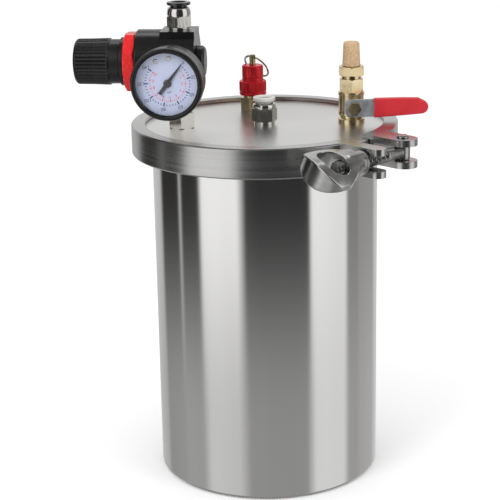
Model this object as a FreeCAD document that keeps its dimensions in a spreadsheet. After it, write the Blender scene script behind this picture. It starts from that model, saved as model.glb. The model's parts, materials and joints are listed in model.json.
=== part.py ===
import FreeCAD, Part
import math
import os
import Sketcher
from FreeCAD import Placement, Rotation, Vector

# A resin pressure pot, in millimetres. The origin is the centre of the tank's underside,
# +Z is up and -Y is the side that the gauge faces.

os.makedirs("parts", exist_ok=True)
doc = FreeCAD.newDocument("pressure_pot")

SIZES = {
    # Tank, flange, gasket and lid
    "tank_radius": 70,
    "tank_wall": 2,
    "tank_rise": 210,
    "tank_floor": 2.5,
    "tank_bend": 3,
    "flange_radius": 79,
    "flange_thick": 6,
    "gasket_thick": 1.5,
    "gasket_bore": 70,
    "lid_thick": 5,
    "lid_bevel": 0.6,
    # Threaded shanks of the lid fittings, with their nuts and seals under the lid
    "shank_radius": 6.5,
    "shank_length": 13,
    "port_nut_corner": 10,
    "port_nut_thick": 6,
    "port_seal_thick": 1,
    "port_seal_radius": 9.2,
    "port_bore": 2.5,
    "port_nut_turn": 10,
    "tool_overlap": 1,
    # Clamp ring
    "clamp_radius": 82.5,
    "clamp_low": 206.8,
    "clamp_high": 225,
    "clamp_slack": 0.3,
    "clamp_side_slack": 0.7,
    "clamp_lip_bore": 74,
    "clamp_bevel": 0.8,
    "ear_gap_angle": 6,
    "hinge_gap_angle": 1.5,
    "ear_root": 81,
    "ear_low": 208,
    "ear_thick": 4,
    "back_ear_start": 8.7,
    "back_ear_end": 24,
    "back_ear_reach": 106.8,
    "front_ear_start": 9,
    "front_ear_end": 18.7,
    "front_ear_reach": 109.5,
    "hinge_distance": 90,
    "hinge_lug": 7,
    "hinge_pin_radius": 3,
    "pin_fit": 0.05,
    "end_gap": 0.3,
    "rivet_head": 1.5,
    "rivet_head_share": 1.6,
    "hinge_strap": 14,
    # Swing bolt and its wing nut
    "bolt_distance": 97,
    "bolt_pivot": 17,
    "bolt_radius": 4,
    "bolt_length": 59,
    "bolt_tip_bevel": 0.8,
    "eye_radius": 4.5,
    "eye_thick": 8.4,
    "bolt_root": 4,
    "pivot_radius": 2.3,
    "washer_radius": 7.25,
    "washer_thick": 1.5,
    "washer_start": 37,
    "nut_collar_radius": 7.4,
    "nut_collar_length": 13,
    "nut_span": 33,
    "nut_thick": 14.5,
    "nut_length": 38.5,
    "nut_flare_start": 6,
    "nut_shoulder": 22,
    "nut_brow": 31,
    "nut_window": 8,
    "nut_window_shift": 2.5,
    "nut_window_at": 24,
    "nut_tilt": 27,
    "nut_clearance": 0.1,
    "nut_blank": 40,
    "nut_brow_share": 0.62,
    "nut_nose_share": 0.25,
    "nut_nose_drop": 2,
    "nut_lens_share": 1.12,
    "nut_tool": 60,
    # Regulator
    "regulator_x": -50.8,
    "regulator_y": -6,
    "regulator_z": 263.1,
    "regulator_yaw": 5,
    "block_half": 19.7,
    "block_width": 21,
    "block_depth": 24,
    "bonnet_radius": 19.5,
    "bonnet_end": 26,
    "bonnet_room": 9.4,
    "bonnet_bevel": 0.8,
    "neck_radius": 12,
    "neck_end": 35.8,
    "stub_radius": 10.5,
    "stub_end": 49,
    "panel_nut_corner": 18.6,
    "panel_nut_thick": 7,
    "collar_radius": 14.7,
    "collar_thick": 2.8,
    "knob_skirt_radius": 13.5,
    "knob_skirt_start": 36.1,
    "knob_grip_start": 42,
    "knob_grip_radius": 14.25,
    "knob_end": 64.5,
    "knob_bevel": 2.2,
    "knob_step": 0.8,
    "knob_draft": 0.4,
    "knob_room": 11,
    "knob_room_end": 55,
    "spindle_radius": 3,
    "spindle_start": 18,
    "spindle_end": 61,
    "spindle_flange": 6,
    "spindle_flange_thick": 3.2,
    "spindle_cover": 4,
    "spring_nut_start": 26,
    "spring_nut_end": 31,
    "spring_nut_radius": 9,
    "spring_wire": 1.3,
    "spring_mean": 7.2,
    "spring_pitch": 3.9,
    "spring_clearance": 0.2,
    "diaphragm_radius": 17,
    "diaphragm_thick": 1.5,
    "chamber_radius": 13,
    "chamber_depth": 6,
    "poppet_radius": 4,
    "poppet_stem": 1.2,
    "poppet_clearance": 0.5,
    "poppet_inset": 2,
    "poppet_guide": 4,
    "poppet_taper": 3,
    "end_cap_radius": 9.6,
    "end_cap_end": 15.6,
    "end_cap_bevel": 1.5,
    "block_port": 6.5,
    "block_port_depth": 8,
    "nipple_corner": 8.6,
    "nipple_turn": 20,
    "panel_nut_turn": 22.5,
    # Gauge
    "gauge_yaw": 7,
    "gauge_reach": 50,
    "gauge_drop": 5.4,
    "gauge_boss": 21,
    "gauge_boss_radius": 8,
    "gauge_passage": 1.5,
    "gauge_passage_start": 4,
    "bezel_radius": 21.4,
    "bezel_depth": 8,
    "bezel_lip": 18,
    "bezel_wall": 1.2,
    "case_radius": 20.3,
    "case_depth": 21,
    "case_wall": 1,
    "case_bevel": 0.8,
    "lens_back": 3,
    "dial_face": 6.4,
    "dial_thick": 0.6,
    "needle_tip": 13.6,
    "needle_tail": 8,
    "needle_width": 1.3,
    "needle_thick": 0.5,
    "needle_hub": 2.4,
    "needle_hub_half": 0.5,
    "needle_taper": 0.3,
    "needle_clearance": 0.4,
    "needle_height": 5.2,
    "needle_angle": 37,
    "needle_shaft_radius": 0.6,
    "dial_screw_radius": 1.1,
    "dial_screw_circle": 14.4,
    "dial_screw_left": -28,
    "dial_screw_right": 4,
    "dial_screw_rise": 0.6,
    "bourdon_radius": 13,
    "bourdon_wall": 1.6,
    "bourdon_span": 260,
    "bourdon_start": 20,
    "bourdon_height": 13,
    "needle_shaft_depth": 11,
    "stem_radius": 4.5,
    "stem_square": 11,
    "stem_entry": 3,
    "stem_flow": 1.2,
    # Push-in fittings for 8 mm tube
    "tube_bore": 4.05,
    "fitting_corner": 7.9,
    "fitting_dome": 7.3,
    "fitting_mouth": 5.8,
    "fitting_room": 5.1,
    "collet_skirt": 4.9,
    "collet_travel": 1.1,
    "tube_ring_thick": 1.2,
    "grab_ring_thick": 0.4,
    "tube_landing": 1,
    "tube_lead": 0.8,
    "socket_depth": 6,
    "sleeve_step": 0.4,
    "dome_crown": 0.5,
    "mouth_bevel": 0.3,
    "collet_bevel": 0.4,
    "inlet_neck": 1.4,
    "inlet_hex": 6.8,
    "inlet_dome": 5.3,
    "inlet_flange": 7.25,
    "inlet_flange_thick": 1.9,
    "inlet_turn": 22,
    "outlet_neck": 2,
    "outlet_hex": 8,
    "outlet_dome": 3.3,
    "outlet_flange": 6.85,
    "outlet_flange_thick": 2.5,
    "outlet_turn": 8,
    # Relief valve
    "relief_x": -7.2,
    "relief_y": 43,
    "relief_hex_corner": 8,
    "relief_turn": 12,
    "relief_bevel": 0.6,
    "relief_step": 0.5,
    "relief_shoulder": 1,
    "cross_drill": 5,
    "relief_hex": 8.5,
    "relief_neck": 6.2,
    "relief_cap_start": 10.2,
    "relief_flange": 8.7,
    "relief_flange_end": 19.4,
    "relief_upper": 6.85,
    "relief_upper_end": 29.4,
    "relief_room": 4.6,
    "relief_room_end": 27.4,
    "relief_stem_radius": 2,
    "relief_stem_end": 36,
    "relief_disc_radius": 4,
    "relief_disc_thick": 1.6,
    "relief_seat": 12.4,
    "relief_spring_mean": 3.3,
    "relief_spring_wire": 0.45,
    "relief_spring_pitch": 2.15,
    "pull_ring_radius": 8.9,
    "pull_ring_wire": 0.65,
    "pull_ring_hole": 1.05,
    "pull_ring_height": 34.6,
    "pull_ring_lean": 38,
    "pull_ring_slant": -8,
    "pull_ring_yaw": 38,
    # Ball valve and its lever
    "valve_x": 54,
    "valve_y": 4,
    "valve_yaw": 4,
    "valve_base": 8.3,
    "valve_base_thick": 2,
    "valve_waist": 7.1,
    "valve_barrel": 7.75,
    "valve_barrel_start": 4.5,
    "valve_barrel_end": 18.5,
    "valve_lip": 8.1,
    "valve_lip_height": 1.6,
    "valve_step": 0.8,
    "valve_fillet": 0.6,
    "valve_centre": 10.5,
    "ball_radius": 5.6,
    "ball_bore": 3,
    "ball_room": 6.3,
    "seat_thick": 2.4,
    "seat_clearance": 0.5,
    "ball_slot": 1.5,
    "stem_bite": 1.4,
    "stem_tool": 20,
    "end_nut_corner": 8.1,
    "end_nut_end": 27,
    "end_nut_turn": 26,
    "boss_radius": 4.6,
    "boss_end": 10.6,
    "stem_rod": 2.5,
    "stem_rod_end": 17.6,
    "lever_plane": 11.4,
    "lever_thick": 2,
    "lever_tall": 11,
    "lever_back": 5.5,
    "lever_tip": 44,
    "lever_tip_tall": 6.6,
    "lever_corner": 2,
    "lever_taper_start": 16.5,
    "grip_start": 12.5,
    "grip_end": 46,
    "grip_thick": 4.6,
    "grip_tall": 11.8,
    "grip_tip_tall": 8.4,
    "grip_low_corner": 3,
    "grip_high_corner": 4,
    "grip_clearance": 0.1,
    "lever_nut_corner": 4.4,
    "lever_nut_thick": 3,
    "lever_washer_radius": 5.4,
    "lever_washer_thick": 0.8,
    # Silencer
    "silencer_neck": 6,
    "silencer_hex_start": 29,
    "silencer_hex_end": 34.6,
    "silencer_corner": 8.65,
    "silencer_turn": 14,
    "silencer_thread": 4.9,
    "sinter_foot": 5.6,
    "sinter_top": 4.95,
    "sinter_end": 49.6,
    "sinter_bevel": 0.8,
    "sinter_roof": 3,
}


class Size:
    """A length or angle: its value, and the sheet formula that gives it."""

    def __init__(self, value, formula):
        self.value = value
        self.formula = formula

    def __float__(self):
        return self.value

    def __neg__(self):
        return Size(-self.value, f"(-{self.formula})")

    def __add__(self, other):
        other = size_of(other)
        return Size(self.value + other.value, f"({self.formula} + {other.formula})")

    def __sub__(self, other):
        other = size_of(other)
        return Size(self.value - other.value, f"({self.formula} - {other.formula})")

    def __rsub__(self, other):
        return size_of(other) - self

    def __mul__(self, other):
        other = size_of(other)
        return Size(self.value * other.value, f"({self.formula} * {other.formula})")

    def __truediv__(self, other):
        other = size_of(other)
        return Size(self.value / other.value, f"({self.formula} / {other.formula})")

    __radd__ = __add__
    __rmul__ = __mul__


def size_of(term):
    """Any number as a Size."""
    return term if isinstance(term, Size) else Size(float(term), repr(float(term)))


class Sheet:
    """The driving dimensions, read as sheet.name."""

    def __init__(self, sizes):
        self.page = doc.addObject("Spreadsheet::Sheet", "Sizes")
        for row, (name, value) in enumerate(sizes.items(), start=1):
            self.page.set(f"A{row}", name)
            self.page.set(f"B{row}", str(value))
            self.page.setAlias(f"B{row}", name)
            setattr(self, name, Size(float(value), f"Sizes.{name}"))


sheet = Sheet(SIZES)
doc.recompute()
nodes = []


# ---------------------------------------------------------------- building helpers

def bind(thing, prop, size):
    """Sets a property and ties it to the sheet."""
    size = size_of(size)
    setattr(thing, prop, size.value)
    thing.setExpression(prop, size.formula)


def frame_at(x, y, z, forward=(0, 0, 1), across=(1, 0, 0)):
    """A placement at a point whose local Z points forward and whose local X points across."""
    turn = Rotation(Vector(*across), Vector(0, 0, 0), Vector(*forward), "ZXY")
    return Placement(Vector(float(x), float(y), float(z)), turn)


def turned_about_z(angle, z=0.0):
    return Placement(Vector(0, 0, float(z)), Rotation(Vector(0, 0, 1), float(angle)))


def keep(name, thing, place=Placement()):
    """Makes a finished shape the sub-part of this name and puts it where it belongs."""
    thing.Label = name
    thing.Placement = place
    nodes.append(thing)
    return thing


def origin_plane(body, role):
    for feature in body.Origin.OriginFeatures:
        if feature.Role == role:
            return feature
    raise ValueError(role)


def new_sketch(body, name, role):
    sketch = body.newObject("Sketcher::SketchObject", name)
    sketch.AttachmentSupport = [(origin_plane(body, role), "")]
    sketch.MapMode = "FlatFace"
    return sketch


def pin_vertex(sketch, edge, x, y):
    """Holds the first end of an edge at (x, y) with dimensions tied to the sheet."""
    for kind, axis, size in (("DistanceX", -2, x), ("DistanceY", -1, y)):
        size = size_of(size)
        if size.value == 0:
            sketch.addConstraint(Sketcher.Constraint("PointOnObject", edge, 1, axis))
            continue
        number = sketch.addConstraint(Sketcher.Constraint(kind, -1, 1, edge, 1, size.value))
        sketch.setExpression(f"Constraints[{number}]", size.formula)


def draw_outline(sketch, points):
    """A closed outline of straight edges through the given points."""
    corners = [Vector(float(x), float(y), 0) for x, y in points]
    count = len(corners)
    first = sketch.GeometryCount
    for index in range(count):
        sketch.addGeometry(Part.LineSegment(corners[index], corners[(index + 1) % count]))
    for index in range(count):
        following = first + (index + 1) % count
        sketch.addConstraint(Sketcher.Constraint("Coincident", first + index, 2, following, 1))
    for index, (x, y) in enumerate(points):
        pin_vertex(sketch, first + index, x, y)


def lathe(name, profile, angle=360):
    """A body turned about its Z axis from (radius, height) points."""
    body = doc.addObject("PartDesign::Body", name + "_body")
    sketch = new_sketch(body, name + "_profile", "XZ_Plane")
    draw_outline(sketch, profile)
    turned = body.newObject("PartDesign::Revolution", name + "_turned")
    turned.Profile = sketch
    turned.ReferenceAxis = (sketch, ["V_Axis"])
    bind(turned, "Angle", angle)
    doc.recompute()
    return body


def ring(name, inner, outer, low, high):
    """A plain tube or washer between two radii and two heights."""
    return lathe(name, [(inner, low), (outer, low), (outer, high), (inner, high)])


def plate(name, points, thick, role="XY_Plane"):
    """A body padded both ways from an outline, thick overall."""
    body = doc.addObject("PartDesign::Body", name + "_body")
    sketch = new_sketch(body, name + "_outline", role)
    draw_outline(sketch, points)
    pad = body.newObject("PartDesign::Pad", name + "_pad")
    pad.Profile = sketch
    pad.SideType = "Symmetric"
    bind(pad, "Length", thick)
    doc.recompute()
    return body


def edge_names(shape, wanted):
    """The names of the edges that a test picks."""
    return [f"Edge{number}" for number, edge in enumerate(shape.Edges, start=1) if wanted(edge)]


def round_edges(body, name, radius, wanted):
    base = body.Tip
    fillet = body.newObject("PartDesign::Fillet", name)
    fillet.Base = (base, edge_names(base.Shape, wanted))
    bind(fillet, "Radius", radius)
    doc.recompute()


def primitive(kind, name, place=Placement(), **sizes):
    """A Part primitive whose properties are tied to the sheet."""
    solid = doc.addObject("Part::" + kind, name)
    for prop, size in sizes.items():
        bind(solid, prop, size)
    solid.Placement = place
    return solid


def cylinder(name, radius, low, high, place=Placement()):
    """A cylinder on the local Z of a placement, from one height to another."""
    shift = Placement(Vector(0, 0, float(low)), Rotation())
    return primitive("Cylinder", name, place * shift, Radius=radius, Height=size_of(high) - low)


def prism(name, corner, low, high, place=Placement(), turn=0, sides=6):
    """A regular prism on the local Z of a placement, from one height to another."""
    shift = Placement(Vector(0, 0, float(low)), Rotation(Vector(0, 0, 1), float(turn)))
    solid = primitive("Prism", name, place * shift, Circumradius=corner, Height=size_of(high) - low)
    solid.Polygon = sides
    return solid


def brick(name, low, high):
    """A box between two corners."""
    spans = [size_of(top) - bottom for bottom, top in zip(low, high)]
    box = primitive("Box", name, Length=spans[0], Width=spans[1], Height=spans[2])
    box.Placement.Base = Vector(*(float(size) for size in low))
    return box


def fuse(name, *shapes):
    joined = doc.addObject("Part::MultiFuse", name)
    joined.Shapes = list(shapes)
    joined.Refine = True
    doc.recompute()
    return joined


def common(name, *shapes):
    shared = doc.addObject("Part::MultiCommon", name)
    shared.Shapes = list(shapes)
    doc.recompute()
    return shared


def cut(name, base, *tools):
    tool = tools[0] if len(tools) == 1 else fuse(name + "_tools", *tools)
    remainder = doc.addObject("Part::Cut", name)
    remainder.Base = base
    remainder.Tool = tool
    doc.recompute()
    return remainder


def group(name, *solids):
    """Identical loose pieces that share one sub-part."""
    compound = doc.addObject("Part::Compound", name)
    compound.Links = list(solids)
    doc.recompute()
    return compound


def coil(name, mean, wire, pitch, low, high, place):
    """An open coil spring on the local Z of a placement."""
    helix = primitive("Helix", name + "_helix", Pitch=pitch, Height=size_of(high) - low, Radius=mean)
    helix.SegmentLength = 0.5
    section = primitive("Circle", name + "_wire", Radius=wire)
    section.Placement = Placement(Vector(float(mean), 0, 0), Rotation(Vector(1, 0, 0), 90))
    doc.recompute()
    sweep = doc.addObject("Part::Sweep", name + "_sweep")
    sweep.Sections = [section]
    sweep.Spine = (helix, edge_names(helix.Shape, lambda edge: True))
    sweep.Solid = True
    sweep.Frenet = True
    doc.recompute()
    return keep(name, sweep, place * Placement(Vector(0, 0, float(low)), Rotation()))


# ---------------------------------------------------------------- frames of reference

LID_TOP = sheet.tank_rise + sheet.flange_thick + sheet.gasket_thick + sheet.lid_thick
LID_UNDER = LID_TOP - sheet.lid_thick
CLAMP_MIDDLE = (sheet.ear_low + sheet.clamp_high) / 2
BLOCK_BOTTOM = sheet.regulator_z - sheet.block_half
BLOCK_TOP = sheet.regulator_z + sheet.block_half

# Cutting tools through the lid or the clamp run between these heights.
DRILL_LOW = 195
DRILL_HIGH = 235

CLAMP_FRAME = turned_about_z(-45)
BOLT_DIRECTION = CLAMP_FRAME.Rotation.multVec(Vector(0, -1, 0))
ACROSS_BOLT = CLAMP_FRAME.Rotation.multVec(Vector(1, 0, 0))

yaw = math.radians(float(sheet.regulator_yaw))
KNOB_DIRECTION = Vector(-math.cos(yaw), math.sin(yaw), 0)
gauge_yaw = math.radians(float(sheet.gauge_yaw))
GAUGE_DIRECTION = Vector(-math.sin(gauge_yaw), -math.cos(gauge_yaw), 0)
ACROSS_GAUGE = Vector(math.cos(gauge_yaw), -math.sin(gauge_yaw), 0)
REGULATOR_PORT = (sheet.regulator_x, sheet.regulator_y)
REGULATOR_FRAME = frame_at(*REGULATOR_PORT, sheet.regulator_z, KNOB_DIRECTION, (0, 0, 1))

GAUGE_ROOT = Vector(float(sheet.regulator_x), float(sheet.regulator_y),
                    float(sheet.regulator_z - sheet.gauge_drop))
GAUGE_FRAME = frame_at(*(GAUGE_ROOT + GAUGE_DIRECTION * float(sheet.gauge_reach)),
                       GAUGE_DIRECTION, ACROSS_GAUGE)

LID_PORTS = {
    "regulator": REGULATOR_PORT,
    "outlet": (0, 0),
    "relief": (sheet.relief_x, sheet.relief_y),
    "valve": (sheet.valve_x, sheet.valve_y),
}
RELIEF_FRAME = frame_at(*LID_PORTS["relief"], LID_TOP)
VALVE_FRAME = frame_at(*LID_PORTS["valve"], LID_TOP) * turned_about_z(sheet.valve_yaw)


# ---------------------------------------------------------------- tank and lid

def make_tank():
    inner = sheet.tank_radius - sheet.tank_wall
    shell = lathe("tank_shell", [
        (0, 0), (sheet.tank_radius, 0), (sheet.tank_radius, sheet.tank_rise),
        (inner, sheet.tank_rise), (inner, sheet.tank_floor), (0, sheet.tank_floor)])
    round_edges(shell, "tank_bottom_bend", sheet.tank_bend,
                lambda edge: edge.BoundBox.ZMax < 0.01 and edge.BoundBox.XLength > 100)
    keep("tank_shell", shell)
    keep("tank_flange", ring("tank_flange", inner, sheet.flange_radius, sheet.tank_rise,
                             sheet.tank_rise + sheet.flange_thick))
    keep("lid_gasket", ring("lid_gasket", sheet.gasket_bore, sheet.flange_radius - 1,
                            sheet.tank_rise + sheet.flange_thick, LID_UNDER))


def make_lid():
    bevel = sheet.lid_bevel
    disc = lathe("lid_disc", [
        (0, LID_UNDER), (sheet.flange_radius, LID_UNDER), (sheet.flange_radius, LID_TOP - bevel),
        (sheet.flange_radius - bevel, LID_TOP), (0, LID_TOP)])
    overlap = sheet.tool_overlap
    holes = [cylinder(f"lid_hole_{port}", sheet.shank_radius, LID_UNDER - overlap, LID_TOP + overlap,
                      frame_at(x, y, 0)) for port, (x, y) in LID_PORTS.items()]
    keep("lid_plate", cut("lid_drilled", disc, *holes))
    seals = []
    nuts = []
    seal_low = LID_UNDER - sheet.port_seal_thick
    for port, (x, y) in LID_PORTS.items():
        place = frame_at(x, y, 0)
        bore = cylinder(f"nut_bore_{port}", sheet.shank_radius, DRILL_LOW, LID_UNDER, place)
        washer = cylinder(f"seal_disc_{port}", sheet.port_seal_radius, seal_low, LID_UNDER, place)
        seals.append(cut(f"port_seal_{port}", washer, bore))
        blank = prism(f"nut_blank_{port}", sheet.port_nut_corner,
                      seal_low - sheet.port_nut_thick, seal_low, place, turn=sheet.port_nut_turn)
        nuts.append(cut(f"port_nut_{port}", blank, bore))
    keep("port_seals", group("port_seal_set", *seals))
    keep("port_nuts", group("port_nut_set", *nuts))


# ---------------------------------------------------------------- clamp

def clamp_channel(name, start):
    """Half of the C-section ring, from a start angle round to the other end."""
    wall = sheet.flange_radius + sheet.clamp_side_slack
    low_lip = sheet.tank_rise - sheet.clamp_slack
    high_lip = LID_TOP + sheet.clamp_slack
    bevel = sheet.clamp_bevel
    sweep = 180 - sheet.ear_gap_angle - sheet.hinge_gap_angle
    half = lathe(name, [
        (sheet.clamp_lip_bore, sheet.clamp_low), (sheet.clamp_radius - bevel, sheet.clamp_low),
        (sheet.clamp_radius, sheet.clamp_low + bevel), (sheet.clamp_radius, sheet.clamp_high - bevel),
        (sheet.clamp_radius - bevel, sheet.clamp_high), (sheet.clamp_lip_bore, sheet.clamp_high),
        (sheet.clamp_lip_bore, high_lip), (wall, high_lip), (wall, low_lip),
        (sheet.clamp_lip_bore, low_lip)], angle=sweep)
    half.Placement = turned_about_z(start)
    return half


def ear_pair(name, start, end, reach):
    """Two flat lugs with round tips, above and below the bolt."""
    tip = (end - start) / 2
    middle = (start + end) / 2
    pieces = []
    levels = ((sheet.ear_low, sheet.ear_low + sheet.ear_thick),
              (sheet.clamp_high - sheet.ear_thick, sheet.clamp_high))
    for level, (low, high) in zip(("low", "high"), levels):
        side = 1 if float(start) > 0 else -1
        near, far = (start, end) if side > 0 else (end, start)
        slab = brick(f"{name}_{level}_slab", (sheet.tank_radius, near, low),
                     (reach - side * tip, far, high))
        nose = cylinder(f"{name}_{level}_nose", side * tip, low, high,
                        frame_at(reach - side * tip, middle, 0))
        pieces += [slab, nose]
    lugs = fuse(f"{name}_lugs", *pieces)
    core = cylinder(f"{name}_core", sheet.ear_root, DRILL_LOW, DRILL_HIGH)
    return cut(f"{name}_trimmed", lugs, core)


def hinge_lug(name, low, high, side):
    """One leaf of the rear hinge, on the half of this side."""
    centre = -sheet.hinge_distance
    reach = sheet.hinge_lug
    near, far = (0, reach) if side > 0 else (-reach, 0)
    strap = brick(f"{name}_strap", (centre, near, low), (centre + sheet.hinge_strap, far, high))
    eye = cylinder(f"{name}_eye", reach, low, high, frame_at(centre, 0, 0))
    leaf = fuse(f"{name}_leaf", strap, eye)
    core = cylinder(f"{name}_core", sheet.ear_root, DRILL_LOW, DRILL_HIGH)
    return cut(f"{name}_trimmed", leaf, core)


def make_clamp():
    pin_hole = sheet.hinge_pin_radius + sheet.pin_fit
    hinge_place = frame_at(-sheet.hinge_distance, 0, 0)
    leaf_low = sheet.ear_low + sheet.ear_thick + sheet.clamp_slack
    leaf_high = sheet.clamp_high - sheet.ear_thick - sheet.clamp_slack

    front = fuse(
        "front_joined",
        clamp_channel("front_channel", -180 + sheet.hinge_gap_angle),
        ear_pair("front_ears", -sheet.front_ear_start, -sheet.front_ear_end, sheet.front_ear_reach),
        hinge_lug("front_hinge", leaf_low, leaf_high, side=-1))
    drill = cylinder("front_drill", pin_hole, DRILL_LOW, DRILL_HIGH, hinge_place)
    keep("clamp_front_half", cut("front_drilled", front, drill), CLAMP_FRAME)

    back = fuse(
        "back_joined",
        clamp_channel("back_channel", sheet.ear_gap_angle),
        ear_pair("back_ears", sheet.back_ear_start, sheet.back_ear_end, sheet.back_ear_reach),
        hinge_lug("back_low_hinge", sheet.ear_low, sheet.ear_low + sheet.ear_thick, side=1),
        hinge_lug("back_high_hinge", sheet.clamp_high - sheet.ear_thick, sheet.clamp_high, side=1))
    drill = cylinder("back_drill", pin_hole, DRILL_LOW, DRILL_HIGH, hinge_place)
    pivot_hole = cylinder("pivot_drill", sheet.pivot_radius, DRILL_LOW, DRILL_HIGH,
                          frame_at(sheet.bolt_distance, sheet.bolt_pivot, 0))
    keep("clamp_back_half", cut("back_drilled", back, drill, pivot_hole), CLAMP_FRAME)

    keep("clamp_hinge_pin", headed_pin("clamp_hinge_pin", sheet.hinge_pin_radius),
         CLAMP_FRAME * hinge_place)


def headed_pin(name, radius):
    """A rivet through the clamp's full depth, with a bevelled head at each end."""
    head = radius * sheet.rivet_head_share
    bevel = sheet.rivet_head / 2
    low = sheet.ear_low
    high = sheet.clamp_high
    return lathe(name, [
        (0, low - sheet.rivet_head), (head - bevel, low - sheet.rivet_head), (head, low - bevel),
        (head, low), (radius, low), (radius, high), (head, high), (head, high + bevel),
        (head - bevel, high + sheet.rivet_head), (0, high + sheet.rivet_head)])


def make_swing_bolt():
    pivot = CLAMP_FRAME * frame_at(sheet.bolt_distance, sheet.bolt_pivot, CLAMP_MIDDLE)
    along = Placement(pivot.Base, Rotation(ACROSS_BOLT, Vector(0, 0, 0), BOLT_DIRECTION, "ZXY"))
    bevel = sheet.bolt_tip_bevel
    shank = lathe("bolt_shank", [
        (0, sheet.bolt_root), (sheet.bolt_radius, sheet.bolt_root),
        (sheet.bolt_radius, sheet.bolt_length - bevel),
        (sheet.bolt_radius - bevel, sheet.bolt_length), (0, sheet.bolt_length)])
    sideways = Placement(Vector(0, 0, 0), Rotation(Vector(1, 0, 0), 90))
    half = sheet.eye_thick / 2
    eye = cylinder("bolt_eye", sheet.eye_radius, -half, half, sideways)
    overlap = sheet.tool_overlap
    hole = cylinder("bolt_eye_hole", sheet.pivot_radius + sheet.pin_fit, -half - overlap,
                    half + overlap, sideways)
    keep("swing_bolt", cut("bolt_drilled", fuse("bolt_joined", shank, eye), hole), along)
    keep("swing_bolt_pin", headed_pin("swing_bolt_pin", sheet.pivot_radius),
         CLAMP_FRAME * frame_at(sheet.bolt_distance, sheet.bolt_pivot, 0))
    bore = sheet.bolt_radius + sheet.pin_fit
    washer_end = sheet.washer_start + sheet.washer_thick
    keep("thrust_washer", ring("thrust_washer", bore, sheet.washer_radius, sheet.washer_start,
                               washer_end), along)
    nut_place = along * Placement(Vector(0, 0, float(washer_end + sheet.nut_clearance)),
                                  Rotation(Vector(0, 0, 1), -float(sheet.nut_tilt)))
    keep("wing_nut", wing_nut(bore), nut_place)


def wing_nut(bore):
    """A collar that flares into a closed bow, lens-shaped when seen from its end."""
    half_span = sheet.nut_span / 2
    half_thick = sheet.nut_thick / 2
    brow = half_span * sheet.nut_brow_share
    nose = half_span * sheet.nut_nose_share
    low_nose = sheet.nut_length - sheet.nut_nose_drop
    side = plate("nut_side", [
        (-sheet.nut_collar_radius, sheet.nut_flare_start), (sheet.nut_collar_radius, sheet.nut_flare_start),
        (half_span, sheet.nut_shoulder), (half_span, sheet.nut_brow),
        (brow, low_nose), (nose, sheet.nut_length), (-nose, sheet.nut_length), (-brow, low_nose),
        (-half_span, sheet.nut_brow), (-half_span, sheet.nut_shoulder)], sheet.nut_blank,
        role="XZ_Plane")
    lens_span = half_span * sheet.nut_lens_share
    lens_radius = (lens_span * lens_span + half_thick * half_thick) / sheet.nut_thick
    offset = lens_radius - half_thick
    front = cylinder("nut_lens_front", lens_radius, 0, sheet.nut_tool, frame_at(0, offset, 0))
    back = cylinder("nut_lens_back", lens_radius, 0, sheet.nut_tool, frame_at(0, -offset, 0))
    bow = common("nut_bow", side, front, back)
    collar = cylinder("nut_collar", sheet.nut_collar_radius, 0, sheet.nut_collar_length)
    through = Placement(Vector(0, 0, float(sheet.nut_window_at)), Rotation(Vector(1, 0, 0), 90))
    shift = sheet.nut_window_shift
    reach = sheet.nut_blank / 2
    window = [cylinder(f"nut_window_{side_name}", sheet.nut_window, -reach, reach,
                       frame_at(x, 0, 0) * through)
              for side_name, x in (("left", -shift), ("right", shift))]
    bore_tool = cylinder("nut_bore", bore, -sheet.tool_overlap, sheet.nut_window_at)
    return cut("nut_cut", fuse("nut_joined", bow, collar), bore_tool, *window)


# ---------------------------------------------------------------- regulator

def make_regulator_block():
    half_width = sheet.block_width / 2
    half_depth = sheet.block_depth / 2
    block = brick("block_slab", (-sheet.block_half, -half_depth, -half_width),
                  (sheet.block_half, half_depth, half_width))
    drum = cylinder("block_drum", sheet.bonnet_radius, -half_width, half_width)
    towards_gauge = REGULATOR_FRAME.inverse() * frame_at(*GAUGE_ROOT, GAUGE_DIRECTION, ACROSS_GAUGE)
    boss = cylinder("block_boss", sheet.gauge_boss_radius, 0, sheet.gauge_boss, towards_gauge)
    overlap = sheet.tool_overlap
    chamber = cylinder("block_chamber", sheet.chamber_radius, half_width - sheet.chamber_depth,
                       half_width + overlap)
    poppet_room = cylinder("block_poppet_room", sheet.poppet_radius + sheet.poppet_clearance,
                           -half_width - overlap, half_width)
    upright = frame_at(0, 0, 0, (1, 0, 0), (0, 0, 1))
    port_in = cylinder("block_port_in", sheet.block_port, sheet.block_half - sheet.block_port_depth,
                       sheet.block_half + overlap, upright)
    port_out = cylinder("block_port_out", sheet.block_port, -sheet.block_half - overlap,
                        sheet.block_port_depth - sheet.block_half, upright)
    passage = cylinder("block_passage", sheet.port_bore, -sheet.block_half, sheet.block_half, upright)
    gauge_port = cylinder("block_gauge_port", sheet.stem_radius,
                          sheet.gauge_boss - sheet.block_port_depth, sheet.gauge_boss + overlap,
                          towards_gauge)
    gauge_passage = cylinder("block_gauge_passage", sheet.gauge_passage, sheet.gauge_passage_start,
                             sheet.gauge_boss, towards_gauge)
    solid = fuse("block_joined", block, drum, boss)
    keep("regulator_body", cut("block_cut", solid, chamber, poppet_room, port_in, port_out, passage,
                               gauge_port, gauge_passage), REGULATOR_FRAME)


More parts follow.
